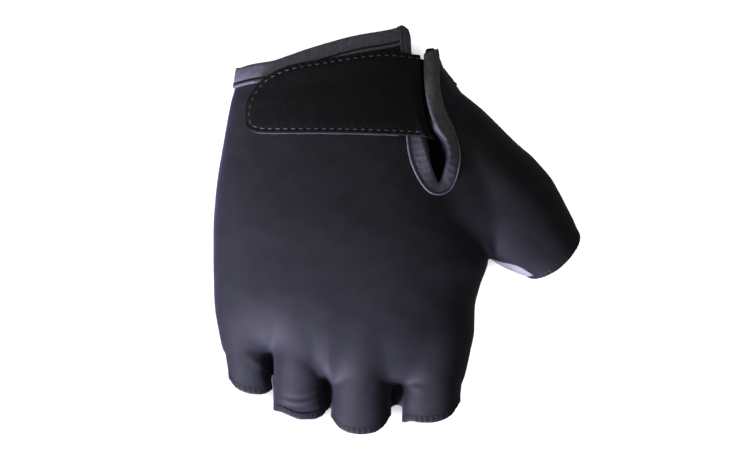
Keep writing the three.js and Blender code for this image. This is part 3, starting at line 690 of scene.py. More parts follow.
# painted highlight: a paler copy of the tape for the rolled lips of the cuff and slit bindings, where they catch the
# light
LIP_HIGHLIGHT_TAPE = cloth("tape_lip_painted_highlight", (0.075, 0.074, 0.086), (0.14, 0.138, 0.158), 0.45, 1.4, 0.75,
                 0.12, (0.85, 0.85, 1.0), 0.6)
LOOP_BLACK = cloth("black_loop_fabric", (0.0045, 0.005, 0.0045), (0.0095, 0.0105, 0.0095), 0.35, 4.0, 0.9,
                   0.05, (0.7, 0.75, 0.7), 0.7, specular=0.15)
HOOK = cloth("grey_hook_sheet", (0.030, 0.031, 0.034), (0.065, 0.066, 0.070), 0.4, 2.0, 0.6,
             0.1, (0.9, 0.9, 1.0), 0.6, specular=0.35)
THREAD = cloth("black_thread", (0.008, 0.008, 0.010), (0.015, 0.015, 0.018), 0.2, 2.0, 0.7,
               0.2, (0.7, 0.7, 1.0), 0.4)
# painted light: a paler copy of the grey thread for the strap's stitches on the left, where the light falls
THREAD_PAINTED_LIGHT_LEFT = cloth("grey_thread_painted_light_on_left", (0.060, 0.060, 0.068), (0.10, 0.10, 0.115), 0.2, 2.0, 0.7,
                    0.2, (0.8, 0.8, 1.0), 0.4)
# grey thread of the strap's stitches; on the side seams its grey is painted sheen, standing in for light caught along
# the seam rims
GREY_THREAD_AND_SEAM_SHEEN = cloth("grey_thread_and_painted_seam_sheen", (0.030, 0.031, 0.034), (0.055, 0.056, 0.060), 0.2, 2.0, 0.7,
                    0.2, (0.8, 0.8, 1.0), 0.4)

# ------------------------------------------------------------------ camera
CENTRE = (-9.88, -1.14)
DISTANCE = 2500.0
WIDE_MM = 743 * 0.38
camera = bpy.data.objects.new("camera", bpy.data.cameras.new("camera"))
bpy.context.scene.collection.objects.link(camera)
camera.location = (CENTRE[0] * MM, CENTRE[1] * MM, (DISTANCE + SEAM_Z) * MM)
camera.data.sensor_width = 36.0
camera.data.lens = 36.0 * DISTANCE / WIDE_MM
camera.data.clip_start, camera.data.clip_end = 0.01, 20.0
bpy.context.scene.camera = camera

# ------------------------------------------------------------------ the body's patches
STEP = 0.75
points, quads = surface(STEP)
body_tris = split_quads(points, quads)
body = relax(points, body_tris, 3)
body, _ = onto(body, 1)


def hem_y(f, x, y, z):
    """Where the open end of a finger lies for a point's place round it."""
    r = finger_rows(f, y)
    u = np.clip((x - r["middle"]) / r["half"], -1, 1)
    under = smooth(0, 6, SEAM_Z - z)
    return hems[f["name"]](u) + under * 0.45 * f["bow"] * (1 - u**2)


def finger_at(x, y):
    """Which finger a point belongs to: the bounds lie half way between neighbours."""
    rows = [finger_rows(f, y) for f in FINGERS]
    which = np.zeros(len(x), int)
    for i in range(3):
        a, b = rows[i], rows[i + 1]
        bound = (a["middle"] + a["half"] + b["middle"] - b["half"]) / 2
        which += x > bound
    return which


def mouth_distance(p):
    """How far a point is inside the nearest open end."""
    x, y, z = p.T
    s = np.full(len(p), 50.0)
    which = finger_at(x, y)
    for i, f in enumerate(FINGERS):
        here = (which == i) & (y < -40) & (x < 36)
        s = np.where(here, y - hem_y(f, x, y, z), s)
    along, across = thumb_place(x, y)
    a = np.clip(along, 0, 84)
    w = np.where(across > 0, thumb["upper"](a), thumb["lower"](a))
    up = z > thumb["seam"](a)
    h = np.where(up, thumb["top"](a) - thumb["seam"](a), thumb["seam"](a) - thumb["bottom"](a))
    sine = np.abs(z - thumb["seam"](a)) / h / np.hypot(across / w, np.abs(z - thumb["seam"](a)) / h + 1e-6)
    tip = -THUMB_BOW * sine * np.where(up, 1, 0.5)
    here = (along < 20) & (x > 38)
    return np.where(here, np.minimum(s, along - tip), s)


def plan_outline():
    """The back's plan outline along the wrist, round the slit and over the flap."""
    left = [(x, cuff_y(x)) for x in np.linspace(-90, 3.0, 50)] + [(4.6, 76.6), (5.1, 75.0)]
    ys = np.linspace(66, 22.5, 26)
    down = [(slit["left"](y), y) for y in ys]
    end = [(14.2, 20.2), (14.8, 18.3), (15.6, 17.4), (16.4, 18.6), (17.1, 20.6)]
    up = [(slit["right"](y), y) for y in ys[::-1]]
    flap = [(10.0, 68.9), (14.6, 69.3), (16.2, 66.6), (18.2, 63.6), (19.6, 61.6), (22.0, 60.6), (90, 60.4)]
    return np.array([*left, *down, *end, *up, *flap, (90, -120), (-90, -120)])


def inside_by(outline, x, y):
    """Distance to a closed outline, positive inside."""
    best = np.full(len(x), 1e9)
    inside = np.zeros(len(x), bool)
    for a, b in zip(outline, np.roll(outline, -1, 0)):
        d = b - a
        t = np.clip(((x - a[0]) * d[0] + (y - a[1]) * d[1]) / max((d**2).sum(), 1e-9), 0, 1)
        best = np.minimum(best, np.hypot(x - a[0] - d[0] * t, y - a[1] - d[1] * t))
        cross = ((a[1] > y) != (b[1] > y)) & (x < a[0] + (y - a[1]) / (d[1] if d[1] else 1e-9) * d[0])
        inside ^= cross
    return np.where(inside, best, -best)


OUTLINE = plan_outline()
HALF = 0.12


def wrist_distance(p):
    x, y, z = p.T
    s = np.full(len(p), 30.0)
    near = y > 5
    s[near] = np.minimum(inside_by(OUTLINE, x[near], y[near]), 30)
    return s


# Broad, soft unevenness of the padded knit, and the folds that the photograph shows.
FOLDS = table("x y turn length width depth bend", [
    (-36.0, -67.2, 9.0, 8.0, 0.95, -0.30, 0.042), (-36.2, -65.6, 9.0, 7.5, 0.9, 0.20, 0.042),
    (-34.6, -63.8, 14.0, 7.0, 1.0, -0.24, 0.038), (-32.8, -61.8, 18.0, 6.0, 1.0, 0.14, 0.034),
    (-33.0, -68.9, 12.0, 5.0, 0.9, -0.30, 0.030), (-33.4, -55.4, 48.0, 6.5, 1.8, 0.30, 0.012),
    (-53.2, -50.8, -35.0, 5.0, 1.4, 0.28, 0.020), (-10.4, -59.8, 60.0, 6.0, 1.6, -0.22, 0.010),
    (6.0, -59.6, -20.0, 4.5, 1.2, 0.22, 0.020),
])


def relief(p, normal):
    x, y, z = p.T
    top = np.clip(normal[:, 2], 0, 1)
    total = (0.16 * np.sin(x / 9.1 + 1.3 * np.sin(y / 13.0)) * np.sin(y / 11.3 + 0.8 * np.sin(x / 15.0))
             + 0.05 * np.sin(x / 3.3 + 2.0 * np.sin(y / 4.7)) * np.sin(y / 3.9))
    for i in range(len(FOLDS["x"])):
        f = {k: v[i] for k, v in FOLDS.items()}
        c, s = math.cos(math.radians(f["turn"])), math.sin(math.radians(f["turn"]))
        dx, dy = x - f["x"], y - f["y"]
        along, off = dx * c + dy * s, -dx * s + dy * c
        off = off - f["bend"] * along**2
        total = total + f["depth"] * np.exp(-((off / f["width"]) ** 2) - (along / f["length"]) ** 2) * smooth(0.1, 0.5, top)
    return total


print("body", len(body), len(body_tris))
sz = seam_z(body[:, 0], body[:, 1])
upper, upper_tris = clip(body, body_tris, body[:, 2] - sz - HALF)
upper, upper_tris = clip(upper, upper_tris, wrist_distance(upper) - 1.0)
upper, upper_tris = clip(upper, upper_tris, mouth_distance(upper) - 0.6)
lower, lower_tris = clip(body, body_tris, sz - HALF - body[:, 2])
lower, lower_tris = clip(lower, lower_tris, PALM_EDGE_Y - 1.0 - lower[:, 1])
lower, lower_tris = clip(lower, lower_tris, mouth_distance(lower) - 0.6)


def side_strip(p, i=None):
    """Whether a point is on the strips between fingers, or on strip i."""
    x, y, z = p.T
    a, b = (FINGERS[0], FINGERS[3]) if i is None else (FINGERS[i], FINGERS[i + 1])
    return (y < -40) & (x > finger_rows(a, y)["middle"]) & (x < finger_rows(b, y)["middle"])


palm_p, palm_t = clip(lower, lower_tris, np.where(side_strip(lower), FOURCHETTE_LOW - HALF - lower[:, 2], 9.0))
strips = []
for i in range(3):
    s = np.where(side_strip(lower, i), lower[:, 2] - FOURCHETTE_LOW - HALF, -9.0)
    strips.append(clip(lower, lower_tris, s))


def largest(p, tris):
    """Drops crumbs that a cut leaves beside the piece."""
    label = np.arange(len(p))
    while True:
        low = np.minimum.reduce([label[tris[:, 0]], label[tris[:, 1]], label[tris[:, 2]]])
        new = label.copy()
        for k in range(3):
            np.minimum.at(new, tris[:, k], low)
        new = new[new]
        if (new == label).all():
            break
        label = new
    names, counts = np.unique(label[tris[:, 0]], return_counts=True)
    return compact(p, tris[label[tris[:, 0]] == names[counts.argmax()]])


upper, upper_tris = largest(upper, upper_tris)
palm_p, palm_t = largest(palm_p, palm_t)
_, upper_n = onto(upper, 0)
_, palm_n = onto(palm_p, 0)
back_shell = shell(upper, upper_tris, upper_n, relief(upper, upper_n), WALL)
palm_shell = shell(palm_p, palm_t, palm_n, 0.0, WALL)
back = make("back_panel_knit", [back_shell], KNIT, ["back_panel"])
palm_piece = make("palm_panel_suede", [palm_shell], SUEDE, ["palm_panel"],
                  extra=[(DARK_KNIT_AND_GROOVE_SHADE, np.arange(len(palm_t), 2 * len(palm_t)))])
for i, (p, t) in enumerate(strips):
    p, t = largest(p, t)
    _, n = onto(p, 0)
    pair = f"{FINGERS[i]['name']}_{FINGERS[i + 1]['name']}"
    make(f"fourchette_{pair}_knit", [shell(p, t, n, 0.0, WALL)], DARK_KNIT_AND_GROOVE_SHADE, [f"fourchette_{pair}"])

# ------------------------------------------------------------------ seams between back and palm side
seam_parts = []
for line in loops(upper_tris, len(upper)):
    p = upper[line]
    on = np.abs(p[:, 2] - seam_z(p[:, 0], p[:, 1]) - HALF) < 0.09
    if on.all():
        runs = [p]
    else:
        k = int(np.argmin(on))
        p, on = np.roll(p, -k, 0), np.roll(on, -k)
        cuts = np.flatnonzero(np.diff(np.concatenate([[0], on.astype(int), [0]])))
        runs = [p[a:b] for a, b in zip(cuts[::2], cuts[1::2]) if b - a > 8]
    for run in runs:
        run = run[run[:, 1] < 54]
        if len(run) < 8:
            continue
        c = even(resample(run, 0.9), 3)
        c, n = onto(c, 1)
        seam_parts.append(sweep(c - n * 0.16, n, ring_profile(0.42, 8, 0.8)))
# painted sheen: the seams' grey stands in for light caught along their rims
make("side_seams", [join(seam_parts)], GREY_THREAD_AND_SEAM_SHEEN)

# ------------------------------------------------------------------ hems of the fingers and the thumb
ROLL = [(2.5, -0.1), (2.35, 0.06), (2.0, 0.14), (1.5, 0.18), (0.9, 0.24), (0.3, 0.26), (-0.1, 0.05),
        (-0.28, -0.5), (-0.25, -1.2), (0.1, -1.75), (0.8, -1.95), (1.8, -1.95), (2.8, -1.75), (2.6, -1.5),
        (1.0, -1.45), (0.9, -0.6), (1.2, 0.0), (2.4, 0.0)]


def band(edge, inward, profile, wobble=0.0):
    """A folded band along an edge line on the surface. profile is (distance in from the edge, height over the cloth)."""
    prof = np.asarray(profile, float)
    n, m = len(edge), len(prof)
    flat = edge[:, None] + inward[:, None] * prof[None, :, :1]
    flat, normal = onto(flat.reshape(-1, 3), 3)
    up = prof[None, :, 1] + wobble
    return flat.reshape(n, m, 3) + normal.reshape(n, m, 3) * up[..., None], normal.reshape(n, m, 3)


def tube_faces(n, m, closed):
    i = np.arange(n if closed else n - 1)[:, None]
    j = np.arange(m)[None, :]
    a, b = i * m + j, i * m + (j + 1) % m
    c, d = ((i + 1) % n) * m + (j + 1) % m, ((i + 1) % n) * m + j
    return np.stack([a, b, c, d], -1).reshape(-1, 4)


def outward_faces(p, faces):
    """Turns the faces of a closed band so that they face out."""
    f = np.asarray(faces)
    a, b, c = p[f[:, 0]], p[f[:, 1]], p[f[:, 2]]
    volume = (np.cross(b - a, c - a) * (a - p.mean(0))).sum()
    return f if volume > 0 else f[:, ::-1]


def capped(p, faces, n, m):
    """Closes both ends of a band that is n rings of m points long, facing out."""
    turned = outward_faces(p, faces)
    flip = turned is not faces
    ends = np.stack([p[:m].mean(0), p[(n - 1) * m:].mean(0)])
    k = np.arange(m)
    one = np.stack([np.full(m, n * m), (k + 1) % m, k], 1)
    two = np.stack([np.full(m, n * m + 1), (n - 1) * m + k, (n - 1) * m + (k + 1) % m], 1)
    caps = np.concatenate([one, two])
    if flip:
        caps = caps[:, ::-1]
    return np.concatenate([p, ends]), [*turned.tolist(), *caps.tolist()]


def hem_loop(count, place):
    turn = np.linspace(0, 2 * math.pi, count, endpoint=False)
    c, s = np.cos(turn), np.sin(turn)
    power = np.where(s >= 0, TOP_POWER, BOTTOM_POWER)
    reach = (np.abs(c) ** power + np.abs(s) ** power) ** (-1 / power)
    return place(reach * c, reach * s)


def finger_loop(f):
    def place(u, v):
        y = np.full(len(u), f["tipY"])
        for _ in range(4):
            r = finger_rows(f, y)
            z = SEAM_Z + v * np.where(v >= 0, (r["top"] - SEAM_Z) * (1 + LEAN * u), SEAM_Z - r["bottom"])
            y = hem_y(f, r["middle"] + r["half"] * u, y, z)
        return np.stack([r["middle"] + r["half"] * u, y, z], 1), np.array([0, 1.0, 0])
    return place


def thumb_loop(u, v):
    a = 0.0
    w = np.where(u > 0, thumb["upper"](a), thumb["lower"](a))
    z = thumb["seam"](a) + v * np.where(v >= 0, (thumb["top"](a) - thumb["seam"](a)) * (1 + LEAN * u),
                                        thumb["seam"](a) - thumb["bottom"](a))
    sine = np.abs(v) / np.hypot(u, v)
    s = THUMB_BOW * sine * np.where(v > 0, 1, 0.5)
    across = w * u
    x = THUMB_TIP[0] + THUMB_DIR[0] * s - THUMB_DIR[1] * across
    y = THUMB_TIP[1] + THUMB_DIR[1] * s + THUMB_DIR[0] * across
    return np.stack([x, y, z], 1), np.array([-THUMB_DIR[0], -THUMB_DIR[1], 0.0])


hem_parts, thread_parts = [], []
for place in [*(finger_loop(f) for f in FINGERS), thumb_loop]:
    edge, inward = hem_loop(400, place)
    edge = resample(edge, 0.55, closed=True)
    edge, n = onto(edge, 2)
    # the way in lies along the surface
    lead = unit(inward[None] - n * (n @ inward)[:, None])
    wobble = 0.09 * np.sin(np.arange(len(edge)) * 1.7)[:, None] + rng.normal(0, 0.05, (len(edge), 1))
    rows, normals = band(edge, lead, ROLL, wobble)
    pts = rows.reshape(-1, 3)
    faces = outward_faces(pts, tube_faces(len(edge), len(ROLL), True))
    hem_parts.append((pts, faces))
    # overlock loops: slanting threads over the band
    loop = resample(edge, 1.15, closed=True)
    loop, ln = onto(loop, 1)
    ll = unit(inward[None] - ln * (ln @ inward)[:, None])
    shift = np.roll(loop, -1, 0) - loop
    start2 = loop + ll * 0.35 + ln * 0.20 + shift * 0.45
    end2 = loop + shift * 0.6 + ll * 0.1 - ln * 1.75
    thread_parts.append(stitches(start2, end2, -ll, 0.2, 0.5))
    # the chain line on the inner edge of the band
    a = loop + ll * 2.2 + ln * 0.06
    b = np.roll(a, -1, 0)
    thread_parts.append(stitches(mix(a, b, 0.2), mix(a, b, 0.8), ln, 0.2, 0.16))
make("finger_hems", hem_parts, KNIT)
make("hem_threads", [join(thread_parts)], THREAD)


# ------------------------------------------------------------------ the back seen as heights
def top_point(x, y, off=0.0):
    """A point on the back of the hand, moved off it square to the surface."""
    def height(px, py):
        left, right, seam, top = (palm[k](py) for k in ("left", "right", "seam", "top"))
        u = np.clip((px - (left + right) / 2) * 2 / (right - left), -0.999, 0.999)
        v = (1 - np.abs(u) ** TOP_POWER) ** (1 / TOP_POWER)
        return seam + (top - seam) * v * (1 + LEAN * u), u, v
    e = 0.2
    n = unit(np.stack([(height(x - e, y)[0] - height(x + e, y)[0]) / (2 * e),
                       (height(x, y - e)[0] - height(x, y + e)[0]) / (2 * e), np.ones_like(x)], -1))
    z, u, v = height(x, y)
    p = np.stack([x, y, z + flap_lift(x, y) * smooth(0.1, 0.5, v / np.hypot(u, v))], -1)
    return p + n * np.asarray(off)[..., None], n


# ------------------------------------------------------------------ cuff binding
# distance in from the edge, height over the cloth
CUFF_PROFILE = np.array([
    (1.05, 1.00), (0.55, 0.85), (0.2, 0.45), (0.02, -0.1), (0.0, -0.8), (0.02, -1.5), (0.2, -2.15),
    (0.55, -2.55), (1.05, -2.70), (2.6, -2.72), (4.4, -2.70), (5.6, -2.62), (5.85, -2.4), (5.8, -2.05),
    (4.0, -1.95), (1.4, -1.92), (1.05, -0.8), (1.4, 0.12), (4.0, 0.14), (6.15, 0.12), (6.38, 0.3),
    (6.42, 0.65), (6.3, 1.05), (6.05, 1.22), (5.75, 1.25), (5.5, 1.15), (5.35, 0.85), (5.25, 0.55), (5.1, 0.42),
    (4.9, 0.50), (4.7, 0.75), (4.3, 0.98), (3.4, 1.08), (2.4, 1.1), (1.6, 1.08),
])


def section_point(y, turn):
    c, s = np.cos(turn), np.sin(turn)
    power = np.where(s >= 0, TOP_POWER, BOTTOM_POWER)
    reach = (np.abs(c) ** power + np.abs(s) ** power) ** (-1 / power)
    u, v = reach * c, reach * s
    left, right, seam, top, bottom = (palm[k](y) for k in ("left", "right", "seam", "top", "bottom"))
    x = (left + right) / 2 + (right - left) / 2 * u
    return x, seam + v * np.where(s >= 0, (top - seam) * (1 + LEAN * u), seam - bottom)


def cuff_edge():
    turn = np.linspace(0.9, 2 * math.pi - 0.02, 900)
    y = np.full(len(turn), 62.0)
    for _ in range(12):
        x, z = section_point(y, turn)
        y = np.where(turn < math.pi, cuff_y(x), PALM_EDGE_Y)
    y = y + 0.25 * np.exp(-(((turn - math.pi) / 0.05) ** 2))
    x, z = section_point(y, turn)
    keep = (x < 1.5) | (turn > math.pi)
    line = np.stack([x, y, z, turn], 1)[keep]
    return resample(line, 0.55)


edge = cuff_edge()
n, m = len(edge), len(CUFF_PROFILE)
wide = np.where(edge[:, 3] < math.pi, mix(1.20, 1.08, smooth(-45, 0, edge[:, 0])), 1.05)[:, None]
yy = edge[:, 1:2] - CUFF_PROFILE[None, :, 0] * np.where(CUFF_PROFILE[None, :, 0] > 2, wide, 1)
xx, zz = section_point(yy, np.repeat(edge[:, 3:4], m, 1))
flat = np.stack([xx, yy, zz], -1).reshape(-1, 3)
flat[:, 2] += flap_lift(flat[:, 0], flat[:, 1]) * smooth(15, 23, flat[:, 2])
g_n = unit(gradient(flat)).reshape(n, m, 3)
d = np.cumsum(np.concatenate([[0], np.linalg.norm(np.diff(edge[:, :3], axis=0), axis=1)]))
pucker = 0.02 * np.sin(d * 2 * math.pi / 2.4)[:, None] + 0.03 * np.sin(d * 2 * math.pi / 5.3 + 1)[:, None]
up = CUFF_PROFILE[None, :, 1] + np.where(CUFF_PROFILE[None, :, 1] > 0.4, pucker, 0)
# the lip lies flatter round the side, next to the palm
side = smooth(-57.5, -61.5, edge[:, 0:1])
up = np.where(CUFF_PROFILE[None, :, 0] > 4.6, np.minimum(up, mix(9.0, 0.42, side)), up)
up = np.where(up > 0.3, up - 0.22 * side, up)
# and it thins out at its end under the flap's corner
up = np.where(up > 0, up * mix(1.0, 0.3, smooth(13, 18.5, edge[:, 0:1])), up)
cuff_pts = (flat.reshape(n, m, 3) + g_n * up[..., None]).reshape(-1, 3)
cuff_faces = tube_faces(n, m, False)
cuff_solid = capped(cuff_pts, tube_faces(n, m, False), n, m)
j = np.tile(np.arange(m), n - 1)
# painted highlight: the faces round the cuff tape's rolled inner lip get the paler tape; painted shade: the groove just
# inside the lip gets the black knit
lip_highlight = (j >= 15) & (j <= 24)
groove_shade = (j >= 27) & (j <= 29)
make("cuff_binding_tape", [cuff_solid], CUFF_TAPE_PAINTED_LIGHTER, ["cuff_binding"],
     extra=[(LIP_HIGHLIGHT_TAPE, np.flatnonzero(lip_highlight)), (DARK_KNIT_AND_GROOVE_SHADE, np.flatnonzero(groove_shade))])

# ------------------------------------------------------------------ slit binding
# The slit's edge and the tape's outer edge, down the left leg, round the loop and up the right leg.
SLIT_TAPE = np.array([
    (1.4, 77.3, 0.4, 77.0), (3.2, 76.5, 0.5, 75.9), (4.5, 74.6, 0.6, 74.2), (5.0, 71.6, 0.8, 71.4),
    (5.2, 66.0, 1.2, 66.0), (5.4, 56.0, 1.5, 56.0), (6.6, 45.0, 2.2, 45.0), (8.6, 38.0, 2.9, 38.0),
    (10.2, 33.0, 3.3, 32.4), (11.6, 28.0, 4.3, 26.6), (13.2, 22.8, 6.6, 20.6), (14.4, 19.6, 9.4, 16.0),
    (15.1, 17.9, 12.2, 13.1), (15.7, 17.4, 15.2, 12.1), (16.4, 18.4, 19.0, 13.8), (17.6, 22.0, 22.4, 19.0),
    (19.0, 28.0, 23.7, 27.0), (17.8, 33.0, 22.9, 33.6), (14.3, 38.0, 20.4, 39.6), (11.8, 45.0, 17.4, 46.4),
    (10.3, 54.0, 15.7, 55.4), (9.95, 62.0, 15.7, 63.4), (9.95, 66.1, 15.0, 68.7),
])
# share of the way from the slit's edge to the tape's outer edge, and height over the cloth
SLIT_PROFILE = np.array([
    (0.16, 1.12), (0.08, 0.98), (0.025, 0.6), (0.0, 0.0), (0.0, -0.8), (0.0, -1.6), (0.025, -2.2), (0.08, -2.55),
    (0.16, -2.7), (0.5, -2.72), (0.86, -2.65), (0.9, -2.3), (0.86, -2.0), (0.4, -1.95), (0.2, -1.92), (0.15, -0.8),
    (0.2, 0.12), (0.6, 0.14), (0.96, 0.12), (0.995, 0.35), (1.0, 0.8), (0.985, 1.2), (0.955, 1.35), (0.915, 1.3),
    (0.885, 1.0), (0.865, 0.6), (0.84, 0.5), (0.81, 0.6), (0.78, 0.95), (0.72, 1.15), (0.6, 1.25), (0.45, 1.28),
    (0.3, 1.25),
])
def over_point(x, y, off=0.0):
    """A point on the top of the whole body over a place of the plan, moved off it square to the surface."""
    shape = np.broadcast(x, y).shape
    x, y = (np.broadcast_to(v, shape).ravel() for v in (x, y))
    inside, outside = np.full(len(x), 14.0), np.full(len(x), 44.0)
    for _ in range(18):
        z = (inside + outside) / 2
        f = field(x, y, z) < 0
        inside, outside = np.where(f, z, inside), np.where(f, outside, z)
    p = np.stack([x, y, inside], 1)
    n = unit(gradient(p))
    off = np.broadcast_to(off, shape).ravel()
    return (p + n * off[:, None]).reshape(*shape, 3), n.reshape(*shape, 3)


rows = even(curve(SLIT_TAPE, 0.45), 6)
n, m = len(rows), len(SLIT_PROFILE)
share = SLIT_PROFILE[None, :, 0]
px = mix(rows[:, 0:1], rows[:, 2:3], share)
py = mix(rows[:, 1:2], rows[:, 3:4], share)
up = np.broadcast_to(SLIT_PROFILE[None, :, 1], (n, m)).copy()
d = np.cumsum(np.concatenate([[0], np.linalg.norm(np.diff(rows[:, :2], axis=0), axis=1)]))
# the raised lip and its groove fade out on the right leg, where a fold runs nearer the slit
right_leg = (smooth(0.66, 0.80, d / d[-1]))[:, None]
plain = np.interp(share, [0.16, 0.6, 0.9, 1.0], [1.12, 1.25, 1.05, 0.5]) - 0.38 * np.exp(-(((share - 0.27) / 0.05) ** 2))
outer = (SLIT_PROFILE[None, :, 1] > 0.4) & (share >= 0.16) & (np.arange(m)[None] > 12)
up = np.where(outer, mix(up, plain, right_leg), up)
up += np.where(up > 0.4, 0.05 * np.sin(d * 2.7)[:, None] + 0.03 * np.sin(d * 6.1)[:, None], 0)
slit_pts, _ = over_point(px, py, up)
slit_solid = capped(slit_pts.reshape(-1, 3), tube_faces(n, m, False), n, m)
i, j = np.repeat(np.arange(n - 1), m), np.tile(np.arange(m), n - 1)
across = (SLIT_PROFILE[j, 0] + SLIT_PROFILE[(j + 1) % m, 0]) / 2
over = up[i, j] > 0.05
# painted light: the right leg's top faces get the lighter copy of the tape
leg_painted_lighter = (d[i] / d[-1] > 0.70) & over
# painted highlight on the rolled outer lip of the loop and the left leg, and on the right leg's lip along the slit
lip_highlight = over & (across > 0.86) & ~leg_painted_lighter
make("slit_binding_tape", [slit_solid], GREY_TAPE, ["slit_binding"],
     extra=[(LEG_TAPE_PAINTED_LIGHTER, np.flatnonzero(leg_painted_lighter)), (LIP_HIGHLIGHT_TAPE, np.flatnonzero(lip_highlight)),
            (LIP_HIGHLIGHT_TAPE, np.flatnonzero(leg_painted_lighter & (across < 0.14)))])


# ------------------------------------------------------------------ closure strap and its backing
def slit_middle(y):
    return (slit["left"](y) + slit["right"](y)) / 2


def strap_lift(x, y):
    # over the slit the strap keeps its own level, while the flap beyond rises over it
    over = STRAP_OVER - flap_lift(x, y) * smooth(-0.3, 1.8, x - slit["left"](y))
    return mix(over, STRAP_UNDER, smooth(-1.55, -0.5, x - slit["right"](y)))


def seen_from_above(x, y, off):
    """The place on the back whose point moved off the cloth stands over (x, y)."""
    bx, by = x, y
    for _ in range(6):
        p, n = top_point(bx, by)
        bx, by = x - n[..., 0] * off, y - n[..., 1] * off
    return bx, by


def flat_piece(xs, low, high, rows, lift, thick, rim=0.35, groove=None, pucker=0.0):
    """A flat strap on the back between two edge lines, with rounded edges and a sewn-down line near them."""
    shares = np.linspace(0, 1, rows)
    x = np.repeat(xs[:, None], rows, 1)
    lo, hi = low(xs)[:, None], high(xs)[:, None]
    y = mix(lo, hi, shares[None])
    base = lift(x, y)
    bx, by = seen_from_above(x, y, np.maximum(base, 0) + thick * 0.7)
    p, normal = top_point(bx, by, base + thick / 2)
    n = len(xs)
    i, j = np.arange(n - 1)[:, None], np.arange(rows - 1)[None, :]
    a = i * rows + j
    q = np.stack([a, a + rows, a + rows + 1, a + 1], -1).reshape(-1, 4)
    tris = np.concatenate([q[:, [0, 1, 2]], q[:, [0, 2, 3]]])
    pts, nrm = p.reshape(-1, 3), normal.reshape(-1, 3)
    centre = pts[tris]
    facing = (np.cross(centre[:, 1] - centre[:, 0], centre[:, 2] - centre[:, 0]) * nrm[tris[:, 0]]).sum(1).mean()
    if facing < 0:
        tris = tris[:, ::-1]
    edge = np.minimum(np.minimum(y - lo, hi - y), (x - xs[0]) * 1.2)
    top = np.full(x.shape, thick / 2)
    if groove:
        at, wide, deep = groove
        top = top - deep * np.exp(-(((edge - at) / wide) ** 2)) + 0.10 * smooth(at + 0.4, at + 3.0, edge)
        top = top - pucker * (0.5 + 0.5 * np.cos(x * 2 * math.pi / 2.9)) * smooth(2.2, 0.6, edge)
    return shell(pts, tris, nrm, top.ravel(), thick / 2, steps=5, bulge=rim)


end_x = -57.7 + 17 * (1 - np.cos(np.linspace(0, math.pi / 2, 26)))
strap_xs = np.concatenate([end_x, np.arange(end_x[-1] + 0.6, 3.0, 0.6), np.arange(3.2, STRAP_ROOT_X - 0.1, 0.2), [STRAP_ROOT_X]])
strap_shell = flat_piece(strap_xs, strap_low, strap_high, 56, strap_lift, STRAP, groove=(1.35, 0.45, 0.20), pucker=0.22)
make("closure_strap_loop", [strap_shell], LOOP_BLACK, ["closure_strap"])
back_xs = np.concatenate([-56.7 + 9 * (1 - np.cos(np.linspace(0, math.pi / 2, 22))), np.arange(-47.2, 0.0, 0.7), [0.3]])
backing_shell = flat_piece(
    back_xs,
    lambda v: strap_low(v) - (0.42 + 0.10 * np.sin(v * 0.9) * np.sin(v * 0.37)) * smooth(-57.5, -52, v),
    lambda v: np.minimum(strap_high(v) - 0.8, cuff_y(v) - CUFF_BAND - 0.8),
    30, lambda x, y: EASE + 0 * x, 0.7)
make("strap_backing_sheet", [backing_shell], HOOK, ["strap_backing"])

# stitches round the strap, sunk in the line near its edge
INSET = 1.35
low_line = [(x, strap_low(x) + INSET) for x in np.arange(9.0, -53.0, -0.5)]
high_line = [(x, strap_high(x) - INSET) for x in np.arange(-50.0, 9.5, 0.5)]
tip_line = [(-54.6, 38.9), (-55.8, 40.4), (-56.2, 42.8), (-55.7, 46.6), (-54.4, 49.8), (-52.6, 52.9)]
outline = even(resample(np.array([*low_line, *tip_line, *high_line]), 0.4), 6)
marks = resample(outline, 2.9)
step = np.roll(marks, -1, 0) - marks
a2, b2 = marks[:-1] + step[:-1] * 0.22, marks[:-1] + step[:-1] * 0.78


def on_strap(q):
    lift = strap_lift(q[:, 0], q[:, 1])
    bx, by = seen_from_above(q[:, 0], q[:, 1], np.maximum(lift, 0) + STRAP * 0.7)
    return top_point(bx, by, lift + STRAP - 0.16)


(pa, na), (pb, nb) = on_strap(a2), on_strap(b2)
# the stitches left of x = -38 mm get the paler thread as painted light from the left
make("strap_stitches", [stitches(pa, pb, unit(na + nb), 0.24, 0.18, rings=7)], GREY_THREAD_AND_SEAM_SHEEN,
     extra=[(THREAD_PAINTED_LIGHT_LEFT, lambda c: c[:, 0] < -38)])

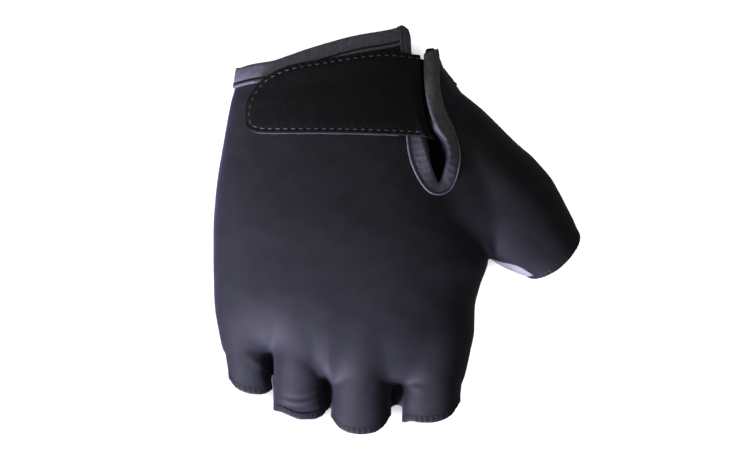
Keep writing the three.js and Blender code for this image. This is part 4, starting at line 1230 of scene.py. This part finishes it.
# ------------------------------------------------------------------ floor and light
floor_mesh = bpy.data.meshes.new("floor")
floor_mesh.from_pydata([(-4, -4, -1e-4), (4, -4, -1e-4), (4, 4, -1e-4), (-4, 4, -1e-4)], [], [(0, 1, 2, 3)])
floor_look, ft, fs, fw = nodes_of("pale_floor")
fs.inputs["Base Color"].default_value = (0.93, 0.93, 0.94, 1)
fs.inputs["Roughness"].default_value = 0.9
fs.inputs["Specular IOR Level"].default_value = 0.1
floor_mesh.materials.append(floor_look)
floor = bpy.data.objects.new("floor", floor_mesh)
bpy.context.scene.collection.objects.link(floor)


def area_light(name, place, aim, size, watts, colour):
    data = bpy.data.lights.new(name, "AREA")
    data.shape = "DISK"
    data.size, data.energy, data.color = size, watts, colour
    o = bpy.data.objects.new(name, data)
    o.location = place
    o.rotation_mode = "QUATERNION"
    o.rotation_quaternion = (Vector(aim) - Vector(place)).to_track_quat("-Z", "Y")
    o.visible_camera = False
    bpy.context.scene.collection.objects.link(o)
    return o


key = area_light("key", (-0.25, -0.37, 0.12), (-0.02, -0.04, 0.015), 0.18, 7.6, (0.73, 0.71, 1.0))
side_lamp = area_light("side", (-1.5, -0.10, 0.48), (-0.04, 0.0, 0.01), 0.6, 9.0, (0.97, 0.95, 1.0))
area_light("top", (-0.55, -0.1, 1.6), (0, 0, 0), 1.0, 5.0, (1.0, 1.0, 0.95))
# The floor has a lamp of its own, so that it stays white round a dark object, and throws no light up at it.
table_lamp = area_light("floor_lamp", (0, 0, 2.2), (0, 0, 0), 2.4, 130.0, (1.0, 1.0, 1.0))
lit = bpy.data.collections.new("lit_by_floor_lamp")
lit.objects.link(floor)
table_lamp.light_linking.receiver_collection = lit
unlit = bpy.data.collections.new("not_lit_by_key")
unlit.objects.link(floor)
unlit.collection_objects[0].light_linking.link_state = "EXCLUDE"
key.light_linking.receiver_collection = unlit
side_lamp.light_linking.receiver_collection = unlit
floor.visible_diffuse = False
floor.visible_glossy = False
# a small reflector under the thumb, for the pale palm side that shows there
reflector = area_light("reflector", (0.13, -0.22, 0.012), (0.045, -0.012, 0.006), 0.06, 0.42, (0.93, 0.92, 1.0))
palm_only = bpy.data.collections.new("lit_by_reflector")
palm_only.objects.link(palm_piece)
reflector.light_linking.receiver_collection = palm_only
world = bpy.data.worlds.new("studio")
world.use_nodes = True
world.node_tree.nodes["Background"].inputs[0].default_value = (1, 1, 1, 1)
world.node_tree.nodes["Background"].inputs[1].default_value = 0.16
bpy.context.scene.world = world
bpy.context.scene.view_settings.view_transform = "Standard"
bpy.context.scene.view_settings.look = "None"
